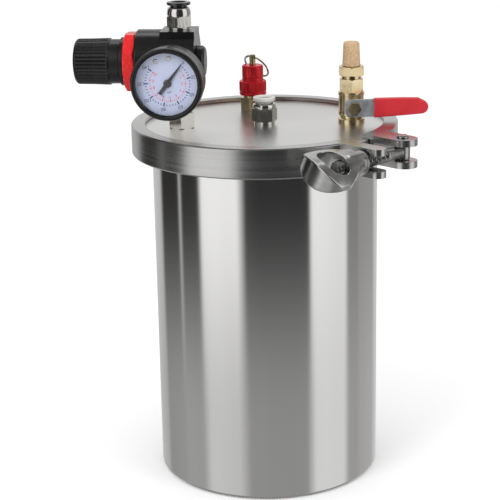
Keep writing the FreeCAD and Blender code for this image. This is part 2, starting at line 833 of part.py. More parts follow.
def make_regulator_inside():
    half_width = sheet.block_width / 2
    seat = half_width + sheet.diaphragm_thick
    keep("diaphragm", lathe("diaphragm", [
        (0, half_width), (sheet.diaphragm_radius, half_width), (sheet.diaphragm_radius, seat),
        (0, seat)]), REGULATOR_FRAME)
    foot = -half_width + sheet.poppet_inset
    guide = foot + sheet.poppet_guide
    flare = sheet.poppet_radius
    keep("poppet_valve", lathe("poppet_valve", [
        (0, foot), (flare, foot), (flare, guide), (sheet.poppet_stem, guide + sheet.poppet_taper),
        (sheet.poppet_stem, half_width), (0, half_width)]), REGULATOR_FRAME)
    spring_edge = sheet.spring_wire / 2 + sheet.spring_clearance
    coil("regulator_spring", sheet.spring_mean, sheet.spring_wire / 2, sheet.spring_pitch,
         seat + spring_edge, sheet.spring_nut_start - spring_edge,
         REGULATOR_FRAME)
    thread = sheet.spindle_radius + sheet.pin_fit
    keep("spring_nut", ring("spring_nut", thread, sheet.spring_nut_radius, sheet.spring_nut_start,
                            sheet.spring_nut_end), REGULATOR_FRAME)
    flange_high = sheet.stub_end - sheet.spindle_cover - sheet.end_gap
    flange_low = flange_high - sheet.spindle_flange_thick
    rod = sheet.spindle_radius
    keep("adjusting_spindle", lathe("adjusting_spindle", [
        (0, sheet.spindle_start), (rod, sheet.spindle_start), (rod, flange_low),
        (sheet.spindle_flange, flange_low), (sheet.spindle_flange, flange_high),
        (rod, flange_high), (rod, sheet.spindle_end), (0, sheet.spindle_end)]), REGULATOR_FRAME)


def make_regulator_outside():
    start = sheet.block_width / 2
    rim = start + sheet.diaphragm_thick
    wall = sheet.bonnet_radius
    bevel = sheet.bonnet_bevel
    pocket = sheet.diaphragm_radius
    shoulder = sheet.stub_end - sheet.spindle_cover
    room = sheet.bonnet_room
    spindle_hole = sheet.spindle_radius + sheet.pin_fit
    keep("regulator_bonnet", lathe("regulator_bonnet", [
        (pocket, start), (wall, start), (wall, sheet.bonnet_end - bevel),
        (wall - bevel, sheet.bonnet_end), (sheet.neck_radius, sheet.bonnet_end),
        (sheet.neck_radius, sheet.neck_end), (sheet.stub_radius, sheet.neck_end),
        (sheet.stub_radius, sheet.stub_end), (spindle_hole, sheet.stub_end),
        (spindle_hole, shoulder), (room, shoulder), (room, rim), (pocket, rim)]), REGULATOR_FRAME)

    nut_end = sheet.bonnet_end + sheet.panel_nut_thick
    blank = prism("panel_nut_blank", sheet.panel_nut_corner, sheet.bonnet_end, nut_end,
                  turn=sheet.panel_nut_turn, sides=8)
    bore = cylinder("panel_nut_bore", sheet.neck_radius, 0, sheet.stub_end)
    keep("panel_nut", cut("panel_nut_bored", blank, bore), REGULATOR_FRAME)
    keep("knob_collar", ring("knob_collar", sheet.neck_radius, sheet.collar_radius, nut_end,
                             nut_end + sheet.collar_thick), REGULATOR_FRAME)

    grip = sheet.knob_grip_radius
    bevel = sheet.knob_bevel
    roof = sheet.spindle_end + sheet.end_gap
    knob = lathe("knob_turned", [
        (sheet.knob_room, sheet.knob_skirt_start), (sheet.knob_skirt_radius, sheet.knob_skirt_start),
        (sheet.knob_skirt_radius, sheet.knob_grip_start), (grip, sheet.knob_grip_start + sheet.knob_step),
        (grip - sheet.knob_draft, sheet.knob_end - bevel * 2), (grip - bevel, sheet.knob_end - bevel / 2),
        (grip - bevel * 2, sheet.knob_end), (0, sheet.knob_end), (0, roof), (spindle_hole, roof),
        (spindle_hole, sheet.knob_room_end),
        (sheet.knob_room, sheet.knob_room_end)])
    keep("regulator_knob", knob, REGULATOR_FRAME)

    cap = sheet.end_cap_radius
    chamfer = sheet.end_cap_bevel
    keep("bottom_cap", lathe("bottom_cap", [
        (0, -start), (cap, -start), (cap, chamfer - sheet.end_cap_end), (cap - chamfer, -sheet.end_cap_end),
        (0, -sheet.end_cap_end)]), REGULATOR_FRAME)

    place = frame_at(*REGULATOR_PORT, 0)
    shank_low = LID_UNDER - sheet.shank_length
    body = fuse(
        "nipple_joined",
        cylinder("nipple_shank", sheet.shank_radius, shank_low, BLOCK_BOTTOM + sheet.block_port_depth),
        prism("nipple_hex", sheet.nipple_corner, LID_TOP, BLOCK_BOTTOM, turn=sheet.nipple_turn))
    flow = cylinder("nipple_flow", sheet.port_bore, shank_low - sheet.tool_overlap, BLOCK_TOP)
    keep("hex_nipple", cut("nipple_bored", body, flow), place)


# ---------------------------------------------------------------- gauge

def make_gauge():
    lip = sheet.bezel_lip
    outer = sheet.bezel_radius
    wall = sheet.bezel_wall
    case = sheet.case_radius
    keep("gauge_bezel", lathe("gauge_bezel", [
        (case, -sheet.bezel_depth), (outer, -sheet.bezel_depth), (outer, -wall),
        (outer - wall / 2, 0), (lip + wall, 0), (lip, -wall), (case, -wall)]), GAUGE_FRAME)
    keep("gauge_lens", lathe("gauge_lens", [
        (0, -sheet.lens_back), (case, -sheet.lens_back), (case, -wall), (0, -wall)]), GAUGE_FRAME)
    inside = case - sheet.case_wall
    back = -sheet.case_depth
    bevel = sheet.case_bevel
    keep("gauge_case", lathe("gauge_case", [
        (sheet.stem_radius, back), (case - bevel, back), (case, back + bevel), (case, -sheet.lens_back),
        (inside, -sheet.lens_back), (inside, back + sheet.case_wall),
        (sheet.stem_radius, back + sheet.case_wall)]), GAUGE_FRAME)
    dial_back = -sheet.dial_face - sheet.dial_thick
    hole = sheet.needle_shaft_radius + sheet.needle_clearance
    keep("gauge_dial", ring("gauge_dial", hole, inside, dial_back, -sheet.dial_face), GAUGE_FRAME)

    screws = []
    for number, angle in enumerate((sheet.dial_screw_left, sheet.dial_screw_right)):
        lean = math.radians(float(angle))
        reach = float(sheet.dial_screw_circle)
        place = frame_at(reach * math.sin(lean), reach * math.cos(lean), 0)
        screws.append(cylinder(f"dial_screw_{number}", sheet.dial_screw_radius, -sheet.dial_face,
                               sheet.dial_screw_rise - sheet.dial_face, place))
    keep("gauge_dial_screws", group("dial_screw_set", *screws), GAUGE_FRAME)

    half = sheet.needle_width / 2
    point = half * sheet.needle_taper
    hub_half = sheet.needle_hub_half
    pointer = plate("needle_pointer", [
        (-half, -sheet.needle_tail), (half, -sheet.needle_tail), (point, sheet.needle_tip),
        (-point, sheet.needle_tip)], sheet.needle_thick)
    hub = cylinder("needle_hub_disc", sheet.needle_hub, -hub_half, hub_half)
    turned = turned_about_z(-sheet.needle_angle, -sheet.needle_height)
    keep("gauge_needle", fuse("needle_joined", pointer, hub), GAUGE_FRAME * turned)
    keep("needle_shaft", lathe("needle_shaft", [
        (0, -sheet.needle_shaft_depth), (sheet.needle_shaft_radius, -sheet.needle_shaft_depth),
        (sheet.needle_shaft_radius, -sheet.needle_height - hub_half),
        (0, -sheet.needle_height - hub_half)]), GAUGE_FRAME)
    tube = primitive("Torus", "bourdon_loop", Radius1=sheet.bourdon_radius,
                     Radius2=sheet.bourdon_wall, Angle3=sheet.bourdon_span)
    keep("bourdon_tube", tube,
         GAUGE_FRAME * turned_about_z(sheet.bourdon_start, -sheet.bourdon_height))

    boss = sheet.gauge_boss - sheet.gauge_reach
    square = sheet.stem_square / 2
    stem = fuse(
        "gauge_stem_joined",
        cylinder("gauge_stem_rod", sheet.stem_radius, boss - sheet.block_port_depth,
                 back + sheet.stem_entry),
        brick("gauge_stem_flats", (-square, -square, boss), (square, square, back)))
    overlap = sheet.tool_overlap
    flow = cylinder("gauge_stem_flow", sheet.stem_flow, boss - sheet.block_port_depth - overlap,
                    back + sheet.stem_entry - overlap)
    keep("gauge_stem", cut("gauge_stem_bored", stem, flow), GAUGE_FRAME)


# ---------------------------------------------------------------- push-in fittings

def make_fitting(name, sizes, shank, place, hex_turn):
    """A straight push-in fitting: hexagon, domed sleeve and a release collet that slides."""
    neck, flats_tall, dome_tall, flange_thick, flange = sizes
    room = sheet.fitting_room
    dome = sheet.fitting_dome
    hex_top = neck + flats_tall
    sleeve_top = hex_top + dome_tall
    flange_low = sleeve_top + sheet.collet_travel
    total = flange_low + flange_thick
    overlap = sheet.tool_overlap
    mouth = sheet.fitting_mouth
    lip = sheet.mouth_bevel
    barrel = lathe(f"{name}_barrel", [
        (0, -shank), (sheet.shank_radius, -shank), (sheet.shank_radius, hex_top - overlap),
        (dome, hex_top - overlap), (dome, hex_top + sheet.sleeve_step),
        (dome - sheet.dome_crown, hex_top + dome_tall / 2), (mouth, sleeve_top - lip),
        (mouth - lip, sleeve_top), (0, sleeve_top)])
    flats = prism(f"{name}_flats", sheet.fitting_corner, neck, hex_top, turn=hex_turn)
    collar = cylinder(f"{name}_bevel_collar", sheet.fitting_corner, neck - overlap, hex_top + overlap)
    seat = hex_top - sheet.socket_depth
    ring_low = seat + sheet.tube_landing
    socket = cylinder(f"{name}_socket", room, ring_low, total)
    flow = cylinder(f"{name}_flow", sheet.port_bore, -shank - overlap, total)
    landing = cylinder(f"{name}_landing", sheet.tube_bore, seat, total)
    joined = fuse(f"{name}_joined", barrel, common(f"{name}_hex", flats, collar))
    keep(f"{name}_fitting_body", cut(f"{name}_bored", joined, socket, flow, landing), place)
    grab_low = ring_low + sheet.tube_ring_thick
    grab_high = grab_low + sheet.grab_ring_thick
    keep(f"{name}_tube_seal", ring(f"{name}_tube_seal", sheet.tube_bore, room, ring_low, grab_low),
         place)
    keep(f"{name}_grab_ring", ring(f"{name}_grab_ring", sheet.tube_bore, room, grab_low, grab_high),
         place)
    collet_low = grab_high + sheet.end_gap + sheet.collet_travel
    bevel = sheet.collet_bevel
    lead = sheet.tube_lead
    keep(f"{name}_release_collet", lathe(f"{name}_release_collet", [
        (sheet.tube_bore, collet_low), (sheet.collet_skirt, collet_low),
        (sheet.collet_skirt, flange_low), (flange - bevel, flange_low),
        (flange, flange_low + bevel), (flange, total - lip), (flange - lip, total),
        (sheet.tube_bore + lead, total), (sheet.tube_bore, total - lead)]), place)


def make_fittings():
    outlet = (sheet.outlet_neck, sheet.outlet_hex, sheet.outlet_dome, sheet.outlet_flange_thick,
              sheet.outlet_flange)
    inlet = (sheet.inlet_neck, sheet.inlet_hex, sheet.inlet_dome, sheet.inlet_flange_thick,
             sheet.inlet_flange)
    shank = LID_TOP - LID_UNDER + sheet.shank_length
    make_fitting("outlet", outlet, shank, frame_at(*LID_PORTS["outlet"], LID_TOP),
                 hex_turn=sheet.outlet_turn)
    make_fitting("inlet", inlet, sheet.block_port_depth, frame_at(*REGULATOR_PORT, BLOCK_TOP),
                 hex_turn=sheet.inlet_turn)


# ---------------------------------------------------------------- relief valve

def make_relief_valve():
    shank = LID_TOP - LID_UNDER + sheet.shank_length
    neck = sheet.relief_neck
    seat = sheet.relief_seat
    barrel = lathe("relief_barrel", [
        (0, -shank), (sheet.shank_radius, -shank), (sheet.shank_radius, 0), (neck, 0), (neck, seat),
        (0, seat)])
    flats = prism("relief_flats", sheet.relief_hex_corner, 0, sheet.relief_hex,
                  turn=sheet.relief_turn)
    overlap = sheet.tool_overlap
    flow = cylinder("relief_flow", sheet.port_bore, -shank - overlap, seat + overlap)
    joined = fuse("relief_joined", barrel, flats)
    keep("relief_body", cut("relief_bored", joined, flow), RELIEF_FRAME)

    start = sheet.relief_cap_start
    bevel = sheet.relief_bevel
    step = sheet.relief_step
    stem_hole = sheet.relief_stem_radius + sheet.pin_fit
    room = sheet.relief_room
    roof = sheet.relief_room_end
    keep("relief_cap", lathe("relief_cap", [
        (neck, start), (sheet.relief_flange - bevel, start), (sheet.relief_flange, start + bevel),
        (sheet.relief_flange, sheet.relief_flange_end - step),
        (sheet.relief_flange - step, sheet.relief_flange_end),
        (sheet.relief_upper, sheet.relief_flange_end),
        (sheet.relief_upper, sheet.relief_upper_end - bevel),
        (sheet.relief_upper - bevel, sheet.relief_upper_end), (stem_hole, sheet.relief_upper_end),
        (stem_hole, roof), (room, roof), (room, seat), (neck, seat)]), RELIEF_FRAME)

    disc_top = seat + sheet.relief_disc_thick
    keep("relief_disc", lathe("relief_disc", [
        (0, seat), (sheet.relief_disc_radius, seat), (sheet.relief_disc_radius, disc_top),
        (0, disc_top)]), RELIEF_FRAME)
    radius = sheet.relief_stem_radius
    shoulder = disc_top + sheet.relief_shoulder
    rod = lathe("relief_rod", [
        (0, disc_top), (sheet.relief_disc_radius, disc_top), (sheet.relief_disc_radius, shoulder),
        (radius, shoulder), (radius, sheet.relief_stem_end - step),
        (radius - step, sheet.relief_stem_end), (0, sheet.relief_stem_end)])
    slant = math.radians(float(sheet.pull_ring_slant))
    swing = math.radians(float(sheet.pull_ring_yaw))
    along_hole = (math.cos(slant) * math.cos(swing), -math.cos(slant) * math.sin(swing),
                  math.sin(slant))
    backwards = (math.sin(swing), math.cos(swing), 0)
    drill = cylinder("relief_cross_drill", sheet.pull_ring_hole, -sheet.cross_drill, sheet.cross_drill,
                     frame_at(0, 0, sheet.pull_ring_height, along_hole, (0, 1, 0)))
    keep("relief_stem", cut("relief_rod_drilled", rod, drill), RELIEF_FRAME)
    spring_half = sheet.relief_spring_wire
    spring_edge = spring_half + sheet.spring_clearance
    coil("relief_spring", sheet.relief_spring_mean, spring_half, sheet.relief_spring_pitch,
         shoulder + spring_edge, roof - spring_edge, RELIEF_FRAME)

    # The ring hangs from the cross hole and leans back over the edge of the cap.
    hinge = RELIEF_FRAME * frame_at(0, 0, sheet.pull_ring_height, backwards, along_hole)
    lean = Placement(Vector(0, 0, 0), Rotation(Vector(1, 0, 0), float(sheet.pull_ring_lean)))
    hang = Placement(Vector(0, float(sheet.pull_ring_radius), 0), Rotation())
    loop = primitive("Torus", "pull_loop", Radius1=sheet.pull_ring_radius,
                     Radius2=sheet.pull_ring_wire)
    keep("relief_pull_ring", loop, hinge * lean * hang)


# ---------------------------------------------------------------- ball valve and silencer

def make_ball_valve():
    shank = LID_TOP - LID_UNDER + sheet.shank_length
    barrel = sheet.valve_barrel
    lip = sheet.valve_lip
    start = sheet.valve_barrel_start
    end = sheet.valve_barrel_end
    rise = sheet.valve_lip_height
    fillet = sheet.valve_fillet
    overlap = sheet.tool_overlap
    clearance = sheet.seat_clearance
    turned = lathe("valve_turned", [
        (0, -shank), (sheet.shank_radius, -shank), (sheet.shank_radius, 0), (sheet.valve_base, 0),
        (sheet.valve_base, sheet.valve_base_thick),
        (sheet.valve_waist, sheet.valve_base_thick + sheet.valve_step),
        (sheet.valve_waist, start - fillet), (lip, start), (lip, start + rise),
        (barrel, start + rise + fillet), (barrel, end - rise - fillet), (lip, end - rise), (lip, end),
        (0, end)])
    sideways = frame_at(0, 0, sheet.valve_centre, (0, -1, 0))
    boss = cylinder("valve_boss", sheet.boss_radius, 0, sheet.boss_end, sideways)
    room = cylinder("valve_room", sheet.ball_room, sheet.valve_centre - sheet.ball_room - clearance,
                    end + overlap)
    flow = cylinder("valve_flow", sheet.ball_bore, -shank - overlap, end)
    gland = cylinder("valve_gland", sheet.stem_rod + sheet.pin_fit, 0, sheet.boss_end + overlap,
                     sideways)
    keep("ball_valve_body", cut("valve_bored", fuse("valve_joined", turned, boss), room, flow, gland),
         VALVE_FRAME)

    spigot_low = sheet.valve_centre + sheet.ball_room + clearance
    nut = fuse(
        "end_nut_joined",
        prism("end_nut_flats", sheet.end_nut_corner, end, sheet.end_nut_end,
              turn=sheet.end_nut_turn),
        cylinder("end_nut_spigot", sheet.ball_room, spigot_low, end))
    flow = cylinder("end_nut_flow", sheet.ball_bore, 0, end + overlap)
    thread = cylinder("end_nut_thread", sheet.silencer_thread, end + overlap,
                      sheet.end_nut_end + overlap)
    keep("valve_end_nut", cut("end_nut_bored", nut, flow, thread), VALVE_FRAME)

    lying = frame_at(0, 0, sheet.valve_centre, (1, 0, 0), (0, 1, 0))
    globe = primitive("Sphere", "ball_globe", lying, Radius=sheet.ball_radius)
    flow = cylinder("ball_flow", sheet.ball_bore, -sheet.stem_tool, sheet.stem_tool, lying)
    socket = cylinder("ball_socket", sheet.stem_rod, sheet.ball_radius - sheet.ball_slot,
                      sheet.stem_tool, sideways)
    keep("valve_ball", cut("ball_bored", globe, flow, socket), VALVE_FRAME)
    keep("valve_seats", group("valve_seat_pair", ball_seat("upper", 1), ball_seat("lower", -1)),
         VALVE_FRAME)

    stem_low = sheet.ball_radius - sheet.stem_bite
    stem = cylinder("stem_rod", sheet.stem_rod, stem_low, sheet.stem_rod_end, sideways)
    keep("valve_stem", stem, VALVE_FRAME * sideways
         * Placement(Vector(0, 0, float(stem_low)), Rotation()))


def ball_seat(name, side):
    """A seat ring with a spherical face against the ball."""
    far = sheet.valve_centre + side * (sheet.ball_room + sheet.seat_clearance)
    near = far - side * sheet.seat_thick
    low, high = (near, far) if side > 0 else (far, near)
    blank = cylinder(f"{name}_seat_blank", sheet.ball_room, low, high)
    globe = primitive("Sphere", f"{name}_seat_globe", frame_at(0, 0, sheet.valve_centre),
                      Radius=sheet.ball_radius + sheet.pin_fit)
    overlap = sheet.tool_overlap
    bore = cylinder(f"{name}_seat_bore", sheet.ball_bore, low - overlap, high + overlap)
    return cut(f"{name}_seat", blank, globe, bore)


def make_lever():
    plane = sheet.lever_plane
    middle = frame_at(0, 0, sheet.valve_centre)
    half = sheet.lever_tall / 2
    tip_half = sheet.lever_tip_tall / 2
    back = -sheet.lever_back
    corner = sheet.lever_corner
    blade = plate("lever_blade", [
        (back, -half + corner), (back + corner, -half), (sheet.lever_taper_start, -half),
        (sheet.lever_tip, -tip_half), (sheet.lever_tip, tip_half), (sheet.lever_taper_start, half),
        (back + corner, half), (back, half - corner)], sheet.lever_thick, role="XZ_Plane")
    blade.Placement = frame_at(0, -plane - sheet.lever_thick / 2, 0)
    sideways = frame_at(0, 0, 0, (0, -1, 0))
    hole = cylinder("lever_hole", sheet.stem_rod, 0, sheet.stem_tool, sideways)
    keep("lever_plate", cut("lever_drilled", blade, hole), VALVE_FRAME * middle)

    grip_half = sheet.grip_tall / 2
    grip_tip = sheet.grip_tip_tall / 2
    low_corner = sheet.grip_low_corner
    high_corner = sheet.grip_high_corner
    sleeve = plate("grip_sleeve", [
        (sheet.grip_start, -grip_half), (sheet.grip_end - low_corner, -grip_tip),
        (sheet.grip_end, -grip_tip + low_corner), (sheet.grip_end, grip_half - high_corner),
        (sheet.grip_end - high_corner, grip_half), (sheet.grip_start, grip_half)],
        sheet.grip_thick, role="XZ_Plane")
    sleeve.Placement = blade.Placement
    pocket = brick("grip_pocket", (0, -plane - sheet.lever_thick, -sheet.stem_tool),
                   (sheet.grip_start + sheet.grip_clearance, -plane, sheet.stem_tool))
    keep("lever_grip", cut("grip_pocketed", sleeve, blade, pocket), VALVE_FRAME * middle)

    nut_low = plane + sheet.lever_thick
    washer_top = nut_low + sheet.lever_washer_thick
    keep("lever_washer", ring("lever_washer", sheet.stem_rod, sheet.lever_washer_radius, nut_low,
                              washer_top), VALVE_FRAME * middle * sideways)
    nut_high = washer_top + sheet.lever_nut_thick
    blank = prism("lever_nut_blank", sheet.lever_nut_corner, washer_top, nut_high)
    bore = cylinder("lever_nut_bore", sheet.stem_rod, 0, nut_high)
    keep("lever_nut", cut("lever_nut_bored", blank, bore), VALVE_FRAME * middle * sideways)


def make_silencer():
    thread_low = sheet.valve_barrel_end + sheet.tool_overlap
    base = fuse(
        "silencer_joined",
        cylinder("silencer_thread", sheet.silencer_thread, thread_low, sheet.silencer_hex_start),
        cylinder("silencer_neck", sheet.silencer_neck, sheet.end_nut_end, sheet.silencer_hex_start),
        prism("silencer_flats", sheet.silencer_corner, sheet.silencer_hex_start,
              sheet.silencer_hex_end, turn=sheet.silencer_turn))
    overlap = sheet.tool_overlap
    flow = cylinder("silencer_flow", sheet.ball_bore, thread_low - overlap,
                    sheet.silencer_hex_end + overlap)
    keep("silencer_base", cut("silencer_bored", base, flow), VALVE_FRAME)
    bevel = sheet.sinter_bevel
    roof = sheet.sinter_end - sheet.sinter_roof
    keep("silencer_element", lathe("silencer_element", [
        (sheet.ball_bore, sheet.silencer_hex_end), (sheet.sinter_foot, sheet.silencer_hex_end),
        (sheet.sinter_top, sheet.sinter_end - bevel), (sheet.sinter_top - bevel, sheet.sinter_end),
        (0, sheet.sinter_end), (0, roof), (sheet.ball_bore, roof)]),
        VALVE_FRAME)


# ---------------------------------------------------------------- build, check and write

def check_document():
    doc.recompute()
    for thing in doc.Objects:
        if "Invalid" in thing.State or "Error" in thing.State:
            raise RuntimeError(f"{thing.Name} is {thing.State}")
    for thing in nodes:
        if thing.Shape.isNull() or not thing.Shape.isValid() or not thing.Shape.Solids:
            raise RuntimeError(f"{thing.Label} has no valid solid")


def write_parts():
    for thing in nodes:
        thing.Shape.exportStep(f"parts/{thing.Label}.step")
        print(f"{thing.Label}: {len(thing.Shape.Solids)} solid(s), {thing.Shape.Volume:.0f} mm3")


make_tank()
make_lid()
make_clamp()
make_swing_bolt()
make_regulator_block()
make_regulator_inside()
make_regulator_outside()
make_gauge()
make_fittings()
make_relief_valve()
make_ball_valve()
make_lever()
make_silencer()
check_document()
write_parts()
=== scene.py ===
import json
import math

import bmesh
import bpy
from mathutils import Matrix, Vector

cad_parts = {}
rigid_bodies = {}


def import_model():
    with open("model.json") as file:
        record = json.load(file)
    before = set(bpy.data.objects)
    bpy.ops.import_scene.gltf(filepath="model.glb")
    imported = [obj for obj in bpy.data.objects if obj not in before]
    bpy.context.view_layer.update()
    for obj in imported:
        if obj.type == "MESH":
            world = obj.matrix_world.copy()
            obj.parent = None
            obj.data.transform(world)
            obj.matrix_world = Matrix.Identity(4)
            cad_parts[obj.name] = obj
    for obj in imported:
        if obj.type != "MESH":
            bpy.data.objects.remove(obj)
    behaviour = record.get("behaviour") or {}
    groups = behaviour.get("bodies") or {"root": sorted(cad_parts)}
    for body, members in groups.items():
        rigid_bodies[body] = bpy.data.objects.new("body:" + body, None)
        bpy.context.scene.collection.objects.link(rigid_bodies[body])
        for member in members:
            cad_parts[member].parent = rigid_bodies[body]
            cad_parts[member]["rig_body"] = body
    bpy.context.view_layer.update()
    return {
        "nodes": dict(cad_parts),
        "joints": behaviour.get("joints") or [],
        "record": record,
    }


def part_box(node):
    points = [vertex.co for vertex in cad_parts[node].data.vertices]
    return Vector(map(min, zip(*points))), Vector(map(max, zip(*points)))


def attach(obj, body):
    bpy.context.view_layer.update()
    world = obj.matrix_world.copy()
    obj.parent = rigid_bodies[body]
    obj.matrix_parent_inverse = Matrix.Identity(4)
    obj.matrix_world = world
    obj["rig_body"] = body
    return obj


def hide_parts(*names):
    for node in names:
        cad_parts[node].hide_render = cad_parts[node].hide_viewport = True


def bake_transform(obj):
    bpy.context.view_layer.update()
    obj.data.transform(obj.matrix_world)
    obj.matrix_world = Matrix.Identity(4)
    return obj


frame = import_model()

MM = 0.001
nodes = frame["nodes"]
joints = {joint["name"]: joint for joint in frame["joints"]}
node_slot = {part["node"]: part["material_slot"] for part in frame["record"]["subparts"]}


# ---------------------------------------------------------------- places

def axes_at(origin, forward=(0, 0, 1), across=(1, 0, 0)):
    """A frame with its Z along forward and its X as near across as it can be."""
    z = Vector(forward).normalized()
    x = Vector(across)
    x = (x - z * x.dot(z)).normalized()
    return Matrix.Translation(Vector(origin)) @ Matrix((x, z.cross(x), z)).transposed().to_4x4()


def spun(place, degrees):
    """A place turned about its own Z."""
    return place @ Matrix.Rotation(math.radians(degrees), 4, "Z")


def shifted(place, x=0.0, y=0.0, z=0.0):
    """A place moved along its own axes, in millimetres."""
    return place @ Matrix.Translation(Vector((x, y, z)) * MM)


def middle(node):
    """The centre of a node's box."""
    low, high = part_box(node)
    return (low + high) / 2


LID_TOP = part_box("lid_plate")[1].z
regulator = axes_at(joints["spindle_turn"]["pos_m"], -Vector(joints["spindle_turn"]["axis"]), (0, 0, 1))
gauge = axes_at(joints["needle_turn"]["pos_m"], -Vector(joints["needle_turn"]["axis"]), (1, 0, 0))
bolt_line = Vector(joints["nut_spin"]["axis"])
bolt = axes_at(joints["bolt_swing"]["pos_m"], bolt_line, (1, -1, 0))
valve_point = Vector(joints["lever_turn"]["pos_m"])
valve_across = -Vector(joints["lever_turn"]["axis"]).cross(Vector((0, 0, 1)))
valve = axes_at((valve_point.x, valve_point.y, LID_TOP), (0, 0, 1), valve_across)
relief_middle = middle("relief_cap")
relief = axes_at((relief_middle.x, relief_middle.y, LID_TOP))
inlet_middle = middle("inlet_release_collet")
inlet = axes_at((inlet_middle.x, inlet_middle.y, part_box("regulator_body")[1].z))
outlet = axes_at((0, 0, LID_TOP))


# ---------------------------------------------------------------- looks

LOOK = {}


def look(name, colour, metallic=0.0, roughness=0.5, **sockets):
    """A Principled material whose constant values sit on the shader's own sockets."""
    material = bpy.data.materials.new(name)
    material.use_nodes = True
    shader = material.node_tree.nodes["Principled BSDF"]
    shader.inputs["Base Color"].default_value = (*colour, 1)
    shader.inputs["Metallic"].default_value = metallic
    shader.inputs["Roughness"].default_value = roughness
    for socket, value in sockets.items():
        shader.inputs[socket.replace("_", " ")].default_value = value
    LOOK[name] = material
    return material


def pattern(material, scale, stretch=(1, 1, 1), detail=3.0, kind="ShaderNodeTexNoise"):
    """A noise or cell pattern in the piece's own coordinates, and its output socket."""
    tree = material.node_tree
    coordinates = tree.nodes.new("ShaderNodeTexCoord")
    mapping = tree.nodes.new("ShaderNodeMapping")
    mapping.inputs["Scale"].default_value = stretch
    texture = tree.nodes.new(kind)
    texture.inputs["Scale"].default_value = scale
    if kind == "ShaderNodeTexNoise":
        texture.inputs["Detail"].default_value = detail
    tree.links.new(coordinates.outputs["Object"], mapping.inputs["Vector"])
    tree.links.new(mapping.outputs["Vector"], texture.inputs["Vector"])
    return texture.outputs[0]


def vary(material, socket, low, high, scale, stretch=(1, 1, 1), detail=3.0):
    """Lets a noise move one number of the shader between two values."""
    tree = material.node_tree
    spread = tree.nodes.new("ShaderNodeMapRange")
    spread.inputs["From Min"].default_value = 0.3
    spread.inputs["From Max"].default_value = 0.7
    spread.inputs["To Min"].default_value = low
    spread.inputs["To Max"].default_value = high
    tree.links.new(pattern(material, scale, stretch, detail), spread.inputs["Value"])
    tree.links.new(spread.outputs["Result"], tree.nodes["Principled BSDF"].inputs[socket])
    return material


def tint(material, first, second, scale, stretch=(1, 1, 1), span=(0.35, 0.65), detail=3.0):
    """Lets a noise move the base colour between two colours."""
    tree = material.node_tree
    ramp = tree.nodes.new("ShaderNodeValToRGB")
    for element, position, colour in zip(ramp.color_ramp.elements, span, (first, second)):
        element.position = position
        element.color = (*colour, 1)
    tree.links.new(pattern(material, scale, stretch, detail), ramp.inputs["Fac"])
    tree.links.new(ramp.outputs["Color"], tree.nodes["Principled BSDF"].inputs["Base Color"])
    return material


def rough_skin(material, depth_mm, scale, stretch=(1, 1, 1), strength=1.0, detail=3.0,
               kind="ShaderNodeTexNoise"):
    """Lets a pattern raise the surface by up to a depth."""
    tree = material.node_tree
    bump = tree.nodes.new("ShaderNodeBump")
    bump.inputs["Distance"].default_value = depth_mm * MM
    bump.inputs["Strength"].default_value = strength
    tree.links.new(pattern(material, scale, stretch, detail, kind), bump.inputs["Height"])
    tree.links.new(bump.outputs["Normal"], tree.nodes["Principled BSDF"].inputs["Normal"])
    return material


def brushed_round(material, amount):
    """Grain that runs round the piece's own Z axis, so that highlights spread across it."""
    tree = material.node_tree
    shader = tree.nodes["Principled BSDF"]
    tangent = tree.nodes.new("ShaderNodeTangent")
    tangent.direction_type = "RADIAL"
    tangent.axis = "Z"
    shader.inputs["Anisotropic"].default_value = amount
    shader.inputs["Anisotropic Rotation"].default_value = 0.25
    tree.links.new(tangent.outputs["Tangent"], shader.inputs["Tangent"])
    return material


STEEL = (0.74, 0.735, 0.725)
ROUND_GRAIN = (3, 3, 420)

tank_steel = look("tank_steel", STEEL, 1.0, 0.17)
tint(tank_steel, (0.725, 0.719, 0.709), (0.765, 0.761, 0.753), 40.0, (1, 1, 0.03), detail=5.0)
vary(tank_steel, "Roughness", 0.112, 0.12, 1.3, ROUND_GRAIN)
brushed_round(tank_steel, 0.55)

lid_steel = look("lid_steel", STEEL, 1.0, 0.26)
tint(lid_steel, (0.70, 0.692, 0.68), (0.77, 0.766, 0.758), 9.0, detail=5.0)
vary(lid_steel, "Roughness", 0.285, 0.3, 400.0, (0.04, 1, 1))
brushed_round(lid_steel, 0.3)

clamp_steel = look("clamp_steel", (0.54, 0.535, 0.53), 1.0, 0.2)
tint(clamp_steel, (0.50, 0.495, 0.49), (0.56, 0.555, 0.55), 1.0, (4, 4, 420))
vary(clamp_steel, "Roughness", 0.24, 0.29, 1.0, (4, 4, 420))

bright_steel = look("bright_steel", (0.46, 0.455, 0.45), 1.0, 0.18)
tint(bright_steel, (0.40, 0.395, 0.39), (0.52, 0.515, 0.51), 110.0)
vary(bright_steel, "Roughness", 0.14, 0.24, 90.0)
rough_skin(bright_steel, 0.10, 190.0, strength=0.7)

pin_steel = look("pin_steel", (0.42, 0.415, 0.41), 1.0, 0.24)
vary(pin_steel, "Roughness", 0.18, 0.32, 300.0)

zinc_steel = look("zinc_steel", (0.62, 0.66, 0.70), 0.85, 0.4)
tint(zinc_steel, (0.54, 0.58, 0.62), (0.70, 0.73, 0.77), 320.0, detail=2.0)
vary(zinc_steel, "Roughness", 0.3, 0.46, 240.0)

spring_steel = look("spring_steel", (0.5, 0.49, 0.48), 1.0, 0.25)
vary(spring_steel, "Roughness", 0.18, 0.34, 400.0)

nickel = look("nickel_plate", (0.70, 0.68, 0.64), 1.0, 0.13)
vary(nickel, "Roughness", 0.10, 0.18, 200.0)
rough_skin(nickel, 0.10, 330.0, (1, 1, 0.2), 0.8)

